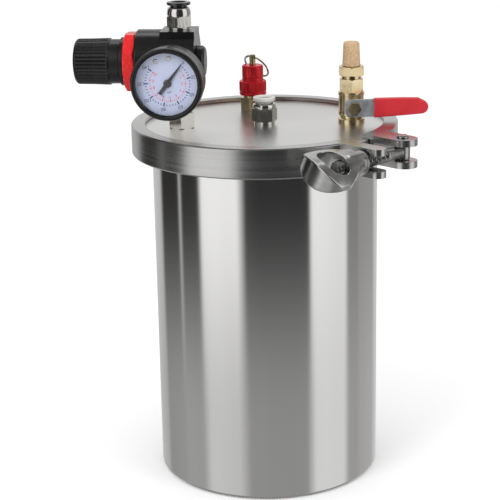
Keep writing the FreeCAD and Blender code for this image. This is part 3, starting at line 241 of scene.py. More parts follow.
brass = look("brass", (0.76, 0.62, 0.36), 1.0, 0.2)
tint(brass, (0.68, 0.53, 0.29), (0.82, 0.70, 0.45), 130.0, detail=4.0)
vary(brass, "Roughness", 0.15, 0.26, 260.0)
rough_skin(brass, 0.14, 300.0, strength=0.9)

sinter = look("sintered_bronze", (0.60, 0.42, 0.25), 0.25, 0.62)
tint(sinter, (0.44, 0.29, 0.16), (0.68, 0.49, 0.30), 1500.0, detail=2.0)
rough_skin(sinter, 0.22, 1500.0, kind="ShaderNodeTexVoronoi")

black_body = look("black_body", (0.006, 0.006, 0.0065), 0.0, 0.2)
vary(black_body, "Roughness", 0.16, 0.26, 350.0)
rough_skin(black_body, 0.02, 500.0, strength=0.25)

black_knob = look("black_knob", (0.007, 0.007, 0.0075), 0.0, 0.28)
vary(black_knob, "Roughness", 0.24, 0.32, 300.0)

red_nut = look("red_nut", (0.62, 0.008, 0.010), 0.0, 0.22)
tint(red_nut, (0.60, 0.006, 0.008), (0.66, 0.012, 0.014), 60.0)
vary(red_nut, "Roughness", 0.2, 0.32, 420.0)

red_metal = look("red_anodised", (0.60, 0.02, 0.03), 0.6, 0.26)
tint(red_metal, (0.56, 0.014, 0.022), (0.66, 0.026, 0.034), 90.0)
vary(red_metal, "Roughness", 0.2, 0.28, 1.0, (20, 20, 900))

red_vinyl = look("red_vinyl", (0.50, 0.010, 0.020), 0.0, 0.36)
tint(red_vinyl, (0.46, 0.008, 0.016), (0.54, 0.013, 0.024), 70.0)
rough_skin(red_vinyl, 0.04, 400.0, strength=0.35)

gauge_black = look("gauge_black", (0.007, 0.007, 0.0075), 0.0, 0.24)
vary(gauge_black, "Roughness", 0.2, 0.3, 300.0)

gauge_case = look("gauge_case", (0.007, 0.007, 0.0075), 0.0, 0.3)
vary(gauge_case, "Roughness", 0.28, 0.42, 260.0)

gauge_face = look("gauge_face", (0.46, 0.50, 0.66), 0.0, 0.42)
tint(gauge_face, (0.43, 0.47, 0.64), (0.49, 0.53, 0.69), 25.0)

scale_blue = look("scale_blue", (0.015, 0.03, 0.12), 0.0, 0.5)
tint(scale_blue, (0.012, 0.025, 0.10), (0.025, 0.045, 0.16), 300.0)

scale_red = look("scale_red", (0.6, 0.04, 0.06), 0.0, 0.5)
tint(scale_red, (0.55, 0.03, 0.05), (0.68, 0.07, 0.09), 300.0)

needle_black = look("needle_black", (0.01, 0.01, 0.012), 0.0, 0.4)
vary(needle_black, "Roughness", 0.34, 0.48, 500.0)

lens = look("clear_lens", (0.99, 0.995, 1.0), 0.0, 0.02, Transmission_Weight=1.0, IOR=1.3)
vary(lens, "Roughness", 0.0, 0.03, 40.0)

collet_grey = look("collet_grey", (0.56, 0.55, 0.52), 0.0, 0.4)
tint(collet_grey, (0.52, 0.51, 0.48), (0.60, 0.59, 0.56), 200.0)

collet_black = look("collet_black", (0.012, 0.012, 0.013), 0.0, 0.2, Coat_Weight=0.5, Coat_Roughness=0.08)
vary(collet_black, "Roughness", 0.16, 0.28, 260.0)

seal_rubber = look("seal_rubber", (0.02, 0.02, 0.02), 0.0, 0.6)
vary(seal_rubber, "Roughness", 0.5, 0.7, 300.0)

lid_seal = look("lid_seal", (0.55, 0.54, 0.5), 0.0, 0.55)
vary(lid_seal, "Roughness", 0.48, 0.62, 200.0)

seat_plastic = look("seat_plastic", (0.75, 0.74, 0.7), 0.0, 0.45)
vary(seat_plastic, "Roughness", 0.4, 0.5, 200.0)

for name, node in nodes.items():
    node.data.materials.clear()
    node.data.materials.append(LOOK[node_slot[name]])


# ---------------------------------------------------------------- mesh building

def piece(name, shape, place, slot, body, stands_for=(), sharp=32):
    """Turns a bmesh in millimetres into a shown piece, which rides on a body if one is named."""
    bmesh.ops.recalc_face_normals(shape, faces=shape.faces)
    limit = math.radians(sharp)
    for edge in shape.edges:
        edge.smooth = edge.calc_face_angle(0.0) < limit if len(edge.link_faces) == 2 else False
    for face in shape.faces:
        face.smooth = True
    shape.transform(place.to_3x3().to_4x4() @ Matrix.Scale(MM, 4))
    mesh = bpy.data.meshes.new(name)
    shape.to_mesh(mesh)
    shape.free()
    mesh.materials.append(LOOK[slot])
    made = bpy.data.objects.new(name, mesh)
    bpy.context.scene.collection.objects.link(made)
    made.matrix_world = Matrix.Translation(place.translation)
    flatten = made.modifiers.new("flat_faces", "WEIGHTED_NORMAL")
    flatten.keep_sharp = True
    if body:
        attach(made, body)
    if stands_for:
        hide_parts(*stands_for)
    return made


def softened(profile, size=0.35, steps=3):
    """The profile with each corner off the axis turned into a small arc."""
    closed = profile[0][0] > 0.001
    last = len(profile) - 1
    made = []
    for index, point in enumerate(profile):
        if not closed and index in (0, last):
            made.append(point)
            continue
        here = Vector(point)
        before = Vector(profile[index - 1])
        after = Vector(profile[(index + 1) % len(profile)])
        reach = min(size, (before - here).length * 0.45, (after - here).length * 0.45)
        start = here + (before - here).normalized() * reach
        end = here + (after - here).normalized() * reach
        for step in range(steps + 1):
            share = step / steps
            made.append(tuple(start.lerp(here, share).lerp(here.lerp(end, share), share)))
    return made


def turned(profile, segments=96, shape=None):
    """A turned solid from (radius, height) points; shape(radius, height, angle) may change a radius."""
    built = bmesh.new()
    rings = []
    for radius, height in profile:
        if radius < 0.001:
            rings.append([built.verts.new((0, 0, height))])
            continue
        ring = []
        for step in range(segments):
            angle = 2 * math.pi * step / segments
            reach = shape(radius, height, angle) if shape else radius
            ring.append(built.verts.new((reach * math.cos(angle), reach * math.sin(angle), height)))
        rings.append(ring)
    pairs = list(zip(rings, rings[1:]))
    if profile[0][0] > 0.001:
        pairs.append((rings[-1], rings[0]))
    for low, high in pairs:
        for step in range(segments):
            following = (step + 1) % segments
            corners = [low[step % len(low)], low[following % len(low)],
                       high[following % len(high)], high[step % len(high)]]
            corners = list(dict.fromkeys(corners))
            if len(corners) > 2:
                built.faces.new(corners)
    return built


def flats(sides, corner):
    """A shape rule that cuts a round bar to a regular prism with its first corner at angle 0."""
    turn = 2 * math.pi / sides
    apothem = corner * math.cos(turn / 2)

    def rule(radius, height, angle):
        return min(radius, apothem / math.cos(angle % turn - turn / 2))
    return rule


NUT_BEVEL = 0.1


def nut_profile(corner, low, high, bore, bevel):
    """A nut's bar before the flats are cut: both ends chamfered to the flats."""
    slope = corner * bevel
    drop = slope * 0.55
    return [(bore, low), (corner - slope, low), (corner, low + drop), (corner, high - drop),
            (corner - slope, high), (bore, high)]


def hexagon(name, place, turn, slot, corner, low, high, bore, stands_for=()):
    """A chamfered hexagon nut, turned about the Z of a place."""
    built = turned(softened(nut_profile(corner, low, high, bore, NUT_BEVEL), 0.2), 96, flats(6, corner))
    return piece(name, built, spun(place, turn), slot, "pot", stands_for)


def steps_between(low, high, pitch):
    """Evenly spaced heights from low to high, about a pitch apart."""
    count = max(2, round((high - low) / pitch))
    return [low + (high - low) * index / count for index in range(count + 1)]


def thread_rule(pitch, depth, low, high):
    """A shape rule for a screw thread that fades out at both ends."""
    def rule(radius, height, angle):
        if not low < height < high:
            return radius
        wave = math.cos(2 * math.pi * height / pitch - angle)
        fade = min(1.0, (height - low) / pitch, (high - height) / pitch)
        return radius - depth * fade * (0.5 - 0.5 * wave)
    return rule


def refined(node, bevel=0.35, segments=2, sharp=30, slot=None, name=None):
    """A copy of a CAD node with its flat faces joined up and its sharp edges rounded off."""
    source = nodes[node]
    built = bmesh.new()
    built.from_mesh(source.data)
    built.transform(Matrix.Scale(1 / MM, 4))
    bmesh.ops.remove_doubles(built, verts=built.verts, dist=0.002)
    bmesh.ops.dissolve_limit(built, angle_limit=math.radians(0.6), verts=built.verts,
                             edges=built.edges)
    edges = [edge for edge in built.edges
             if len(edge.link_faces) == 2 and edge.calc_face_angle(0.0) > math.radians(sharp)]
    bmesh.ops.bevel(built, geom=edges, offset=bevel, segments=segments, profile=0.5,
                    affect="EDGES", clamp_overlap=True)
    return piece(name or f"{node}_finished", built, Matrix.Identity(4), slot or node_slot[node],
                 source["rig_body"], (node,), sharp=sharp)


# ---------------------------------------------------------------- tank, lid and clamp

tank_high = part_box("tank_shell")[1]
tank_radius = tank_high.x / MM
tank_rise = tank_high.z / MM
WALL = 2.0
FLOOR = 2.5
BEND = 3.0
arc = [(tank_radius - BEND + BEND * math.sin(a), BEND - BEND * math.cos(a))
       for a in (math.radians(9 * step) for step in range(1, 10))]
shell = ([(0, 0), (tank_radius - BEND, 0)] + arc + [(tank_radius, 60), (tank_radius, 120),
         (tank_radius, tank_rise), (tank_radius - WALL, tank_rise), (tank_radius - WALL, FLOOR),
         (0, FLOOR)])
piece("tank_shell_brushed", turned(shell, 256), Matrix.Identity(4), "tank_steel", "pot",
      ("tank_shell",))

refined("lid_plate", bevel=0.25)
refined("clamp_front_half", bevel=0.6, segments=3)
refined("clamp_back_half", bevel=0.6, segments=3)
refined("clamp_hinge_pin", bevel=0.2)
refined("swing_bolt_pin", bevel=0.2)

NUT_START = 38.6
NUT_TILT = -27.0
nut = spun(shifted(bolt, z=NUT_START), NUT_TILT)
NUT_LENGTH = 38.5
HALF_SPAN = 16.3
HALF_THICK = 7.25
LENS_SPAN = HALF_SPAN * 1.12
LENS_RADIUS = (LENS_SPAN ** 2 + HALF_THICK ** 2) / (2 * HALF_THICK)
LENS_OFFSET = LENS_RADIUS - HALF_THICK
COLLAR = 7.4
WINDOW_AT = 24.0
WINDOW_RADIUS = 8.0
WINDOW_SHIFT = 2.5
FLARE_START = 4.0
FLARE_LENGTH = 21.0
NOSE_START = 29.0
NOSE_LENGTH = NUT_LENGTH - NOSE_START


def nut_width(height):
    """Half the width of the wing nut: a neck that flares to the span, then an elliptical end."""
    if height > NOSE_START:
        return HALF_SPAN * math.sqrt(max(0.0, 1 - ((height - NOSE_START) / NOSE_LENGTH) ** 2))
    share = min(1.0, max(0.0, (height - FLARE_START) / FLARE_LENGTH))
    return COLLAR - 0.6 + (HALF_SPAN - COLLAR + 0.6) * share * share * (3 - 2 * share)


def bar(outline, low, high, lying=False):
    """A straight bar with a given outline, standing along Z or lying along Y."""
    built = bmesh.new()
    near = [built.verts.new((x, low, y) if lying else (x, y, low)) for x, y in outline]
    far = [built.verts.new((x, high, y) if lying else (x, y, high)) for x, y in outline]
    built.faces.new(near)
    built.faces.new(far[::-1])
    for index in range(len(outline)):
        following = (index + 1) % len(outline)
        built.faces.new((near[index], far[index], far[following], near[following]))
    bmesh.ops.recalc_face_normals(built, faces=built.faces)
    return built


def nut_side():
    """The bow seen from the side: a neck, a smooth flare and an elliptical end."""
    heights = ([FLARE_START + step for step in range(25)]
               + [NOSE_START + NOSE_LENGTH * math.sin(math.radians(4.5 * step)) for step in range(20)])
    right_side = [(nut_width(height), height) for height in heights]
    left_side = [(-x, height) for x, height in reversed(right_side)]
    return right_side + [(0.0, NUT_LENGTH)] + left_side


def nut_lens():
    """The bow seen along the bolt: two arcs that meet at blunt tips."""
    spots = [HALF_SPAN * 1.01 * step / 24 for step in range(-24, 25)]
    front = [(x, math.sqrt(LENS_RADIUS ** 2 - x * x) - LENS_OFFSET) for x in spots]
    back = [(x, -y) for x, y in reversed(front)]
    return front + back


def loose(name, built):
    """A working object in millimetres, for the modifiers to use."""
    mesh = bpy.data.meshes.new(name)
    built.to_mesh(mesh)
    built.free()
    made = bpy.data.objects.new(name, mesh)
    bpy.context.scene.collection.objects.link(made)
    return made


def nut_opening():
    """The oval window through the nut."""
    angles = [2 * math.pi * (step + 0.5) / 64 for step in range(64)]
    return [(WINDOW_RADIUS * math.cos(a) + math.copysign(WINDOW_SHIFT, math.cos(a)),
             WINDOW_AT + WINDOW_RADIUS * math.sin(a)) for a in angles]


bow = loose("nut_bow", bar(nut_side(), -12.0, 12.0, lying=True))
collar = [(0, 0), (COLLAR, 0), (COLLAR, 12.0), (COLLAR - 1.2, 15.4), (0, 15.4)]
bore = [(0, -1.0), (4.2, -1.0), (4.2, WINDOW_AT), (0, WINDOW_AT)]
tools = []
for number, (operation, tool_mesh) in enumerate((
        ("INTERSECT", bar(nut_lens(), 0.0, 45.0)),
        ("UNION", turned(collar, 96)),
        ("DIFFERENCE", bar(nut_opening(), -14.0, 14.0, lying=True)),
        ("DIFFERENCE", turned(bore, 96)))):
    bmesh.ops.recalc_face_normals(tool_mesh, faces=tool_mesh.faces)
    tool = loose(f"nut_tool_{number}", tool_mesh)
    step_cut = bow.modifiers.new(f"cut_{number}", "BOOLEAN")
    step_cut.operation = operation
    step_cut.object = tool
    step_cut.solver = "EXACT"
    tools.append(tool)
grain = bow.modifiers.new("even", "REMESH")
grain.mode = "VOXEL"
grain.voxel_size = 0.4
polish = bow.modifiers.new("polish", "SMOOTH")
polish.factor = 0.5
polish.iterations = 7
bpy.context.view_layer.update()
shaped = bow.evaluated_get(bpy.context.evaluated_depsgraph_get())
nut_mesh = bmesh.new()
nut_mesh.from_mesh(shaped.to_mesh())
for spent in [bow] + tools:
    bpy.data.objects.remove(spent)
piece("wing_nut_cast", nut_mesh, nut, "bright_steel", "wing_nut", ("wing_nut",), sharp=80)

BOLT_RADIUS = 4.0
BOLT_END = 59.0
THREAD_PITCH = 1.25
THREAD_DEPTH = 0.5
EYE_BORE = 2.35
EYE_RADIUS = 4.5
EYE_HALF = 4.2
rows = [(BOLT_RADIUS, height) for height in steps_between(14.0, BOLT_END - 0.9, 0.22)]
shank = [(0, 3.0), (BOLT_RADIUS, 3.0)] + rows + [(BOLT_RADIUS - 0.8, BOLT_END), (0, BOLT_END)]
piece("swing_bolt_thread", turned(shank, 32, thread_rule(THREAD_PITCH, THREAD_DEPTH, 15.0, BOLT_END - 1.0)),
      bolt, "pin_steel", "swing_bolt", ("swing_bolt",))
eye = softened([(EYE_BORE, -EYE_HALF), (EYE_RADIUS, -EYE_HALF), (EYE_RADIUS, EYE_HALF), (EYE_BORE, EYE_HALF)],
               0.5)
piece("swing_bolt_eye", turned(eye, 64), axes_at(bolt.translation), "pin_steel", "swing_bolt")
refined("thrust_washer", bevel=0.25)


# ---------------------------------------------------------------- regulator

refined("regulator_body", bevel=0.7, segments=3)
nipple = axes_at((inlet_middle.x, inlet_middle.y, 0))
nipple_low, nipple_high = [corner.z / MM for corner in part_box("hex_nipple")]
block_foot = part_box("regulator_body")[0].z / MM
lid_line = LID_TOP / MM
NIPPLE = 8.6
NIPPLE_TURN = 29
waist = softened([(2.5, nipple_low), (6.5, nipple_low), (6.5, lid_line + 1.0), (6.5, block_foot),
                  (6.5, nipple_high), (2.5, nipple_high)], 0.3)
piece("hex_nipple_bore", turned(waist, 64), nipple, "nickel_plate", "pot", ("hex_nipple",))
for name, low, high in (("hex_nipple_lower", lid_line, lid_line + 9.6),
                        ("hex_nipple_upper", lid_line + 10.8, block_foot)):
    hexagon(name, nipple, NIPPLE_TURN, "nickel_plate", NIPPLE, low, high, 6.45)

BODY_HALF = 10.5
BONNET = 19.5
bonnet = softened([(9.4, BODY_HALF + 1.5), (17.0, BODY_HALF + 1.5), (17.0, BODY_HALF), (BONNET, BODY_HALF),
                   (BONNET, 25.2), (BONNET - 0.8, 26.0), (12.0, 26.0), (12.0, 35.8), (10.5, 35.8),
                   (10.5, 49.0), (3.1, 49.0), (3.1, 45.0), (9.4, 45.0)], 0.4)
piece("regulator_bonnet_moulded", turned(bonnet, 128), regulator, "black_body", "pot",
      ("regulator_bonnet",))

NUT_CORNER = 18.6
piece("panel_nut_moulded", turned(softened(nut_profile(NUT_CORNER, 26.0, 33.0, 12.0, 0.09), 0.3), 128,
      flats(8, NUT_CORNER)), spun(regulator, 22.5), "red_nut", "pot", ("panel_nut",))
knob_collar = softened([(12.0, 33.0), (14.7, 33.0), (14.7, 35.8), (12.0, 35.8)])
piece("knob_collar_moulded", turned(knob_collar, 96), regulator, "black_knob", "pot", ("knob_collar",))

FLUTES = 36
FLUTE_DEPTH = 0.7


def knob_rule(radius, height, angle):
    """Shallow flutes along the grip, fading out before both ends."""
    if radius < 12.5 or not 43.0 < height < 62.5:
        return radius
    fade = min(1.0, (height - 43.0) / 0.8, (62.5 - height) / 0.8)
    wave = 0.5 - 0.5 * math.cos(FLUTES * angle)
    return radius - FLUTE_DEPTH * fade * (1.0 - wave) ** 3


knob = softened([(0, 61.3), (3.05, 61.3), (3.05, 55.0), (11.0, 55.0),
                 (11.0, 36.1), (13.5, 36.1), (13.5, 42.0),
                 (14.25, 42.8), (14.25, 43.0), (14.24, 43.9), (13.95, 52.0), (13.85, 61.6), (13.8, 62.5),
                 (12.6, 63.8), (9.85, 64.5), (8.6, 64.3), (0, 64.2)], 0.25)
piece("regulator_knob_moulded", turned(knob, 216, knob_rule), regulator, "black_knob", "knob",
      ("regulator_knob",))
piece("bottom_cap_moulded", turned(softened([(0, -BODY_HALF), (9.6, -BODY_HALF), (9.6, -14.1),
      (8.1, -15.6), (0, -15.6)], 0.5), 96), regulator, "black_knob", "pot", ("bottom_cap",))


# ---------------------------------------------------------------- gauge

BEZEL = 21.4
bezel = softened([(20.3, -8.0), (BEZEL, -8.0), (BEZEL, -1.2), (20.8, 0), (19.2, 0), (18.0, -1.2),
                  (20.3, -1.2)], 0.5, 4)
piece("gauge_bezel_moulded", turned(bezel, 160), gauge, "gauge_black", "pot", ("gauge_bezel",))
case = softened([(4.5, -21.0), (19.5, -21.0), (20.3, -20.2), (20.3, -3.0), (19.3, -3.0),
                 (19.3, -20.0), (4.5, -20.0)], 0.5)
piece("gauge_case_moulded", turned(case, 160), gauge, "gauge_case", "pot", ("gauge_case",))
nodes["gauge_lens"].visible_shadow = False
refined("gauge_stem", bevel=0.3)

FACE = -6.4
PRINT = 0.05
SWEEP = 270.0
ZERO = 37.0
UP = (ZERO + SWEEP / 2) % 360


def on_dial(radius, clock):
    """A point of the dial at a clock angle in degrees from the top."""
    lean = math.radians(clock)
    return Vector((radius * math.sin(lean), radius * math.cos(lean), FACE))


def tick(shape, inner, outer_end, clock, width):
    """A raised printed bar from one radius to another."""
    lean = math.radians(clock)
    side = Vector((math.cos(lean), -math.sin(lean), 0)) * width / 2
    near, far = on_dial(inner, clock), on_dial(outer_end, clock)
    lift = Vector((0, 0, PRINT))
    low = [shape.verts.new(p) for p in (near - side, near + side, far + side, far - side)]
    high = [shape.verts.new(v.co + lift) for v in low]
    shape.faces.new(low[::-1])
    shape.faces.new(high)
    for index in range(4):
        following = (index + 1) % 4
        shape.faces.new((low[index], low[following], high[following], high[index]))


def digits(shape, words, centre, height):
    """Figures in the built-in font, upright on a gauge that hangs upside down."""
    text = bpy.data.curves.new("figures", "FONT")
    text.body = words
    text.size = height
    text.align_x = "CENTER"
    text.align_y = "CENTER"
    text.extrude = PRINT / 2
    writer = bpy.data.objects.new("figures", text)
    bpy.context.scene.collection.objects.link(writer)
    bpy.context.view_layer.update()
    mesh = bpy.data.meshes.new_from_object(writer.evaluated_get(bpy.context.evaluated_depsgraph_get()))
    bpy.data.objects.remove(writer)
    mesh.transform(Matrix.Translation(centre + Vector((0, 0, PRINT / 2)))
                   @ Matrix.Rotation(-math.radians(UP), 4, "Z"))
    shape.from_mesh(mesh)


blue = bmesh.new()
for index in range(36):
    major = index % 5 == 0
    tick(blue, 11.7 if major else 12.6, 14.0 if major else 13.7, ZERO + SWEEP * index / 35,
         0.8 if major else 0.45)
for index in range(8):
    digits(blue, str(index * 20), on_dial(15.7, ZERO + SWEEP * index / 7), 3.0)
piece("gauge_scale_outer", blue, gauge, "scale_blue", "pot")
red = bmesh.new()
for index in range(41):
    major = index % 4 == 0
    tick(red, 9.9 if major else 10.3, 11.1, ZERO + SWEEP * index / 40, 0.6 if major else 0.34)
for index in range(0, 11):
    digits(red, str(index), on_dial(8.6, ZERO + SWEEP * index / 10), 2.6)
unit = bmesh.new()
digits(unit, "psi", on_dial(5.6, UP), 2.4)
piece("gauge_unit", unit, gauge, "scale_blue", "pot")
piece("gauge_scale_inner", red, gauge, "scale_red", "pot")


def pointer():
    """The needle: a tapering blade and a broad tail, in its own frame at angle 0."""
    outline = [(-1.15, -7.9), (1.15, -7.9), (1.15, -1.5), (1.15, 0), (1.05, 2.5), (0.35, 13.4),
               (-0.35, 13.4), (-1.05, 2.5), (-1.15, 0), (-1.15, -1.5)]
    built = bmesh.new()
    low = [built.verts.new((x, y, -0.25)) for x, y in outline]
    high = [built.verts.new((x * 0.85, y, 0.25)) for x, y in outline]
    built.faces.new(low[::-1])
    built.faces.new(high)
    for index in range(len(outline)):
        following = (index + 1) % len(outline)
        built.faces.new((low[index], low[following], high[following], high[index]))
    return built


NEEDLE_RISE = -5.2
needle_place = spun(shifted(gauge, z=NEEDLE_RISE), -ZERO)
piece("gauge_needle_stamped", pointer(), needle_place, "needle_black", "needle", ("gauge_needle",))
hub = softened([(0, -0.5), (2.4, -0.5), (2.4, 0.1), (1.6, 0.5), (0, 0.5)], 0.3)
piece("gauge_needle_hub", turned(hub, 64), needle_place, "needle_black", "needle")
for number, clock in enumerate((-28.0, 4.0)):
    head = softened([(0, 0), (1.45, 0), (1.45, 0.35), (1.1, 0.6), (0.5, 0.6), (0.35, 0.25), (0, 0.25)],
                    0.12)
    spot = gauge @ Matrix.Translation(on_dial(14.4, clock) * MM)
    made = piece(f"gauge_dial_screw_{number}", turned(head, 48), spot, "pin_steel", "pot")
    if number == 0:
        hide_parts("gauge_dial_screws")


# ---------------------------------------------------------------- push-in fittings

def fitting(name, place, neck, hex_tall, dome_tall, turn, shank):
    """The hexagon and the domed sleeve of a push-in fitting."""
    hex_top = neck + hex_tall
    top = hex_top + dome_tall
    corner = 7.9
    bulge = [(5.8 + 1.5 * math.cos(a), hex_top + 0.7 + (dome_tall - 0.8) * math.sin(a))
             for a in (math.radians(10 * step) for step in range(10))]
    groove = [(6.6, hex_top), (6.6, hex_top + 0.5), (7.3, hex_top + 0.6)]
    profile = ([(2.5, -shank), (6.5, -shank), (6.5, neck + 0.2), (6.6, neck + 0.3)] + groove + bulge
               + [(5.5, top), (5.15, top - 0.3), (5.15, hex_top - 5.0), (4.05, hex_top - 5.2),
                  (4.05, hex_top - 6.0), (2.5, hex_top - 6.0)])
    piece(f"{name}_sleeve", turned(profile, 96), place, "nickel_plate", "pot", (f"{name}_fitting_body",))
    hexagon(f"{name}_hex", place, turn, "nickel_plate", corner, neck, hex_top, 5.6)


def collet(name, place, body, node, slot, base, travel, flange, thick):
    """A release collet with a rounded pressing flange."""
    low = base + travel
    total = low + thick
    skirt = low - 4.0
    profile = softened([(4.05, skirt), (4.9, skirt), (4.9, low), (flange - 0.4, low), (flange, low + 0.4),
                        (flange, total - 0.3), (flange - 0.3, total), (4.85, total),
                        (4.05, total - 0.8)], 0.25)
    piece(name, turned(profile, 96), place, slot, body, (node,))


fitting("inlet", inlet, 1.4, 6.8, 5.3, 25, 8.0)
fitting("outlet", outlet, 2.0, 8.0, 3.3, 8, 18.0)
collet("inlet_collet_moulded", inlet, "inlet_collet", "inlet_release_collet", "collet_black",
       13.5, 1.1, 7.25, 1.9)
collet("outlet_collet_moulded", outlet, "outlet_collet", "outlet_release_collet", "collet_grey",
       13.3, 1.1, 6.85, 2.5)


# ---------------------------------------------------------------- relief valve

refined("relief_body", bevel=0.25)
cap = [(6.2, 10.2), (8.1, 10.2), (8.7, 10.8)]
cap += [(8.7, 12.0), (8.35, 12.3), (8.35, 12.7), (8.7, 13.0), (8.7, 18.9), (8.2, 19.4), (6.85, 19.4)]
cap += [(6.85, 21.0), (6.6, 21.2), (6.6, 21.6), (6.85, 21.8)]
cap += [(6.85, 28.8), (6.25, 29.4), (2.05, 29.4), (2.05, 27.4), (4.6, 27.4), (4.6, 12.4), (6.2, 12.4)]


def knurl_rule(radius, height, angle):
    """Fine straight knurling round the broad lower ring of the cap."""
    if radius < 8.5 or not 13.2 < height < 18.9:
        return radius
    return radius - 0.16 * (0.5 + 0.5 * math.cos(60 * angle))


knurled = softened(cap, 0.25)
piece("relief_cap_turned", turned(knurled, 240, knurl_rule), relief, "red_anodised", "pot",
      ("relief_cap",))
refined("relief_stem", bevel=0.15)

ring_hinge = Vector(joints["pull_ring_swing"]["pos_m"])
ring_middle = middle("relief_pull_ring")
ring_axis = Vector(joints["pull_ring_swing"]["axis"]).normalized()
ring_out = (ring_middle - ring_hinge)
ring_out = (ring_out - ring_axis * ring_out.dot(ring_axis)).normalized()
RING = 8.9
WIRE = 0.65
ring_place = axes_at(ring_hinge + ring_out * RING * MM, ring_axis.cross(ring_out), ring_axis)


def wire_loop(radius, breadth, wire, turns, pitch, around=20, along=144):
    """A split ring: a wire wound a little over one turn with its ends stepped apart."""
    built = bmesh.new()
    rings = []
    total = int(along * turns)
    for step in range(total + 1):
        angle = 2 * math.pi * step / along
        rise = pitch * (step / total - 0.5)
        centre = Vector((radius * math.cos(angle), radius * math.sin(angle), rise))
        outward = Vector((math.cos(angle), math.sin(angle), 0))
        turns_round = [2 * math.pi * index / around for index in range(around)]
        rings.append([built.verts.new(centre + outward * breadth * math.cos(a)
                                      + Vector((0, 0, wire)) * math.sin(a)) for a in turns_round])
    for low, high in zip(rings, rings[1:]):
        for index in range(around):
            following = (index + 1) % around
            built.faces.new((low[index], low[following], high[following], high[index]))
    built.faces.new(rings[0][::-1])
    built.faces.new(rings[-1])
    return built


def spring(node, place, mean, wire, pitch):
    """An open coil spring between the pot and a moving body, wound over the length of a CAD spring node; it
    rides on no body.
    """
    inverse = place.inverted()
    spots = [(inverse @ vertex.co).z / MM for vertex in nodes[node].data.vertices]
    low, high = min(spots), max(spots)
    rise = high - low - 2 * wire
    made = piece(f"{node}_wound", wire_loop(mean, wire, wire, rise / pitch, rise, 12, 36),
                 shifted(place, z=(low + high) / 2), "spring_steel", None, (node,))
    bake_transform(made)


spring("regulator_spring", regulator, 7.2, 0.65, 3.9)
spring("relief_spring", relief, 3.3, 0.45, 2.15)
piece("relief_pull_ring_wound", wire_loop(RING, WIRE, WIRE * 0.48, 1.97, WIRE), ring_place,
      "spring_steel", "pull_ring", ("relief_pull_ring",))


# ---------------------------------------------------------------- ball valve, lever and silencer

BRASS_TURN = 26
refined("ball_valve_body", bevel=0.25)
hexagon("valve_end_nut_turned", valve, BRASS_TURN, "brass", 8.1, 18.5, 27.0, 4.9, ("valve_end_nut",))
hexagon("silencer_hex_turned", valve, BRASS_TURN, "brass", 8.65, 29.0, 34.6, 3.0)
neck = softened([(3.0, 19.5), (4.8, 19.5), (4.8, 27.0), (6.0, 27.0), (6.0, 29.3), (3.0, 29.3)], 0.2)
piece("silencer_neck_turned", turned(neck, 96), valve, "brass", "pot", ("silencer_base",))
sinter_profile = softened([(3.0, 34.6), (5.6, 34.6), (4.95, 48.8), (4.15, 49.6), (0.01, 49.6),
                           (0.01, 46.6), (3.0, 46.6)], 0.6, 4)
piece("silencer_element_sintered", turned(sinter_profile, 96), valve, "sintered_bronze", "pot",
      ("silencer_element",))
refined("lever_plate", bevel=0.3)


def grip():
    """The dipped sleeve of the lever: a tapering slab with a round tip and full edges."""
    built = bmesh.new()
    outline = [(12.5, -5.9), (30.0, -5.05), (41.0, -4.35)]
    tip = [(41.8 + 4.15 * math.cos(math.radians(a)), -0.1 + 4.15 * math.sin(math.radians(a)))
           for a in range(-75, 61, 15)]
    outline += tip + [(41.0, 4.95), (40.0, 5.55), (30.0, 5.88), (12.5, 5.9)]
    layers = []
    for depth, inset in ((-2.3, 0.9), (-2.05, 0.4), (-1.5, 0.0), (1.5, 0.0), (2.05, 0.4), (2.3, 0.9)):
        centre = Vector((28.0, 0.0))
        ring = []
        for x, z in outline:
            away = (Vector((x, z)) - centre)
            pull = Vector((math.copysign(min(1.0, abs(away.x) / 16), away.x) if x > 40 else 0.0,
                           math.copysign(min(1.0, abs(away.y) / 4), away.y)))
            spot = Vector((x, z)) - pull * inset
            ring.append(built.verts.new((spot.x, depth, spot.y)))
        layers.append(ring)
    count = len(outline)
    for near, far in zip(layers, layers[1:]):
        for index in range(count):
            following = (index + 1) % count
            built.faces.new((near[index], near[following], far[following], far[index]))
    built.faces.new(layers[0][::-1])
    built.faces.new(layers[-1])
    return built


LEVER_PLANE = 12.4
BORE_CENTRE = 10.5
piece("lever_grip_dipped", grip(), shifted(valve, y=-LEVER_PLANE, z=BORE_CENTRE), "red_vinyl", "lever",
      ("lever_grip",), sharp=45)
refined("lever_washer", bevel=0.25)
refined("lever_nut", bevel=0.5)


# ---------------------------------------------------------------- studio

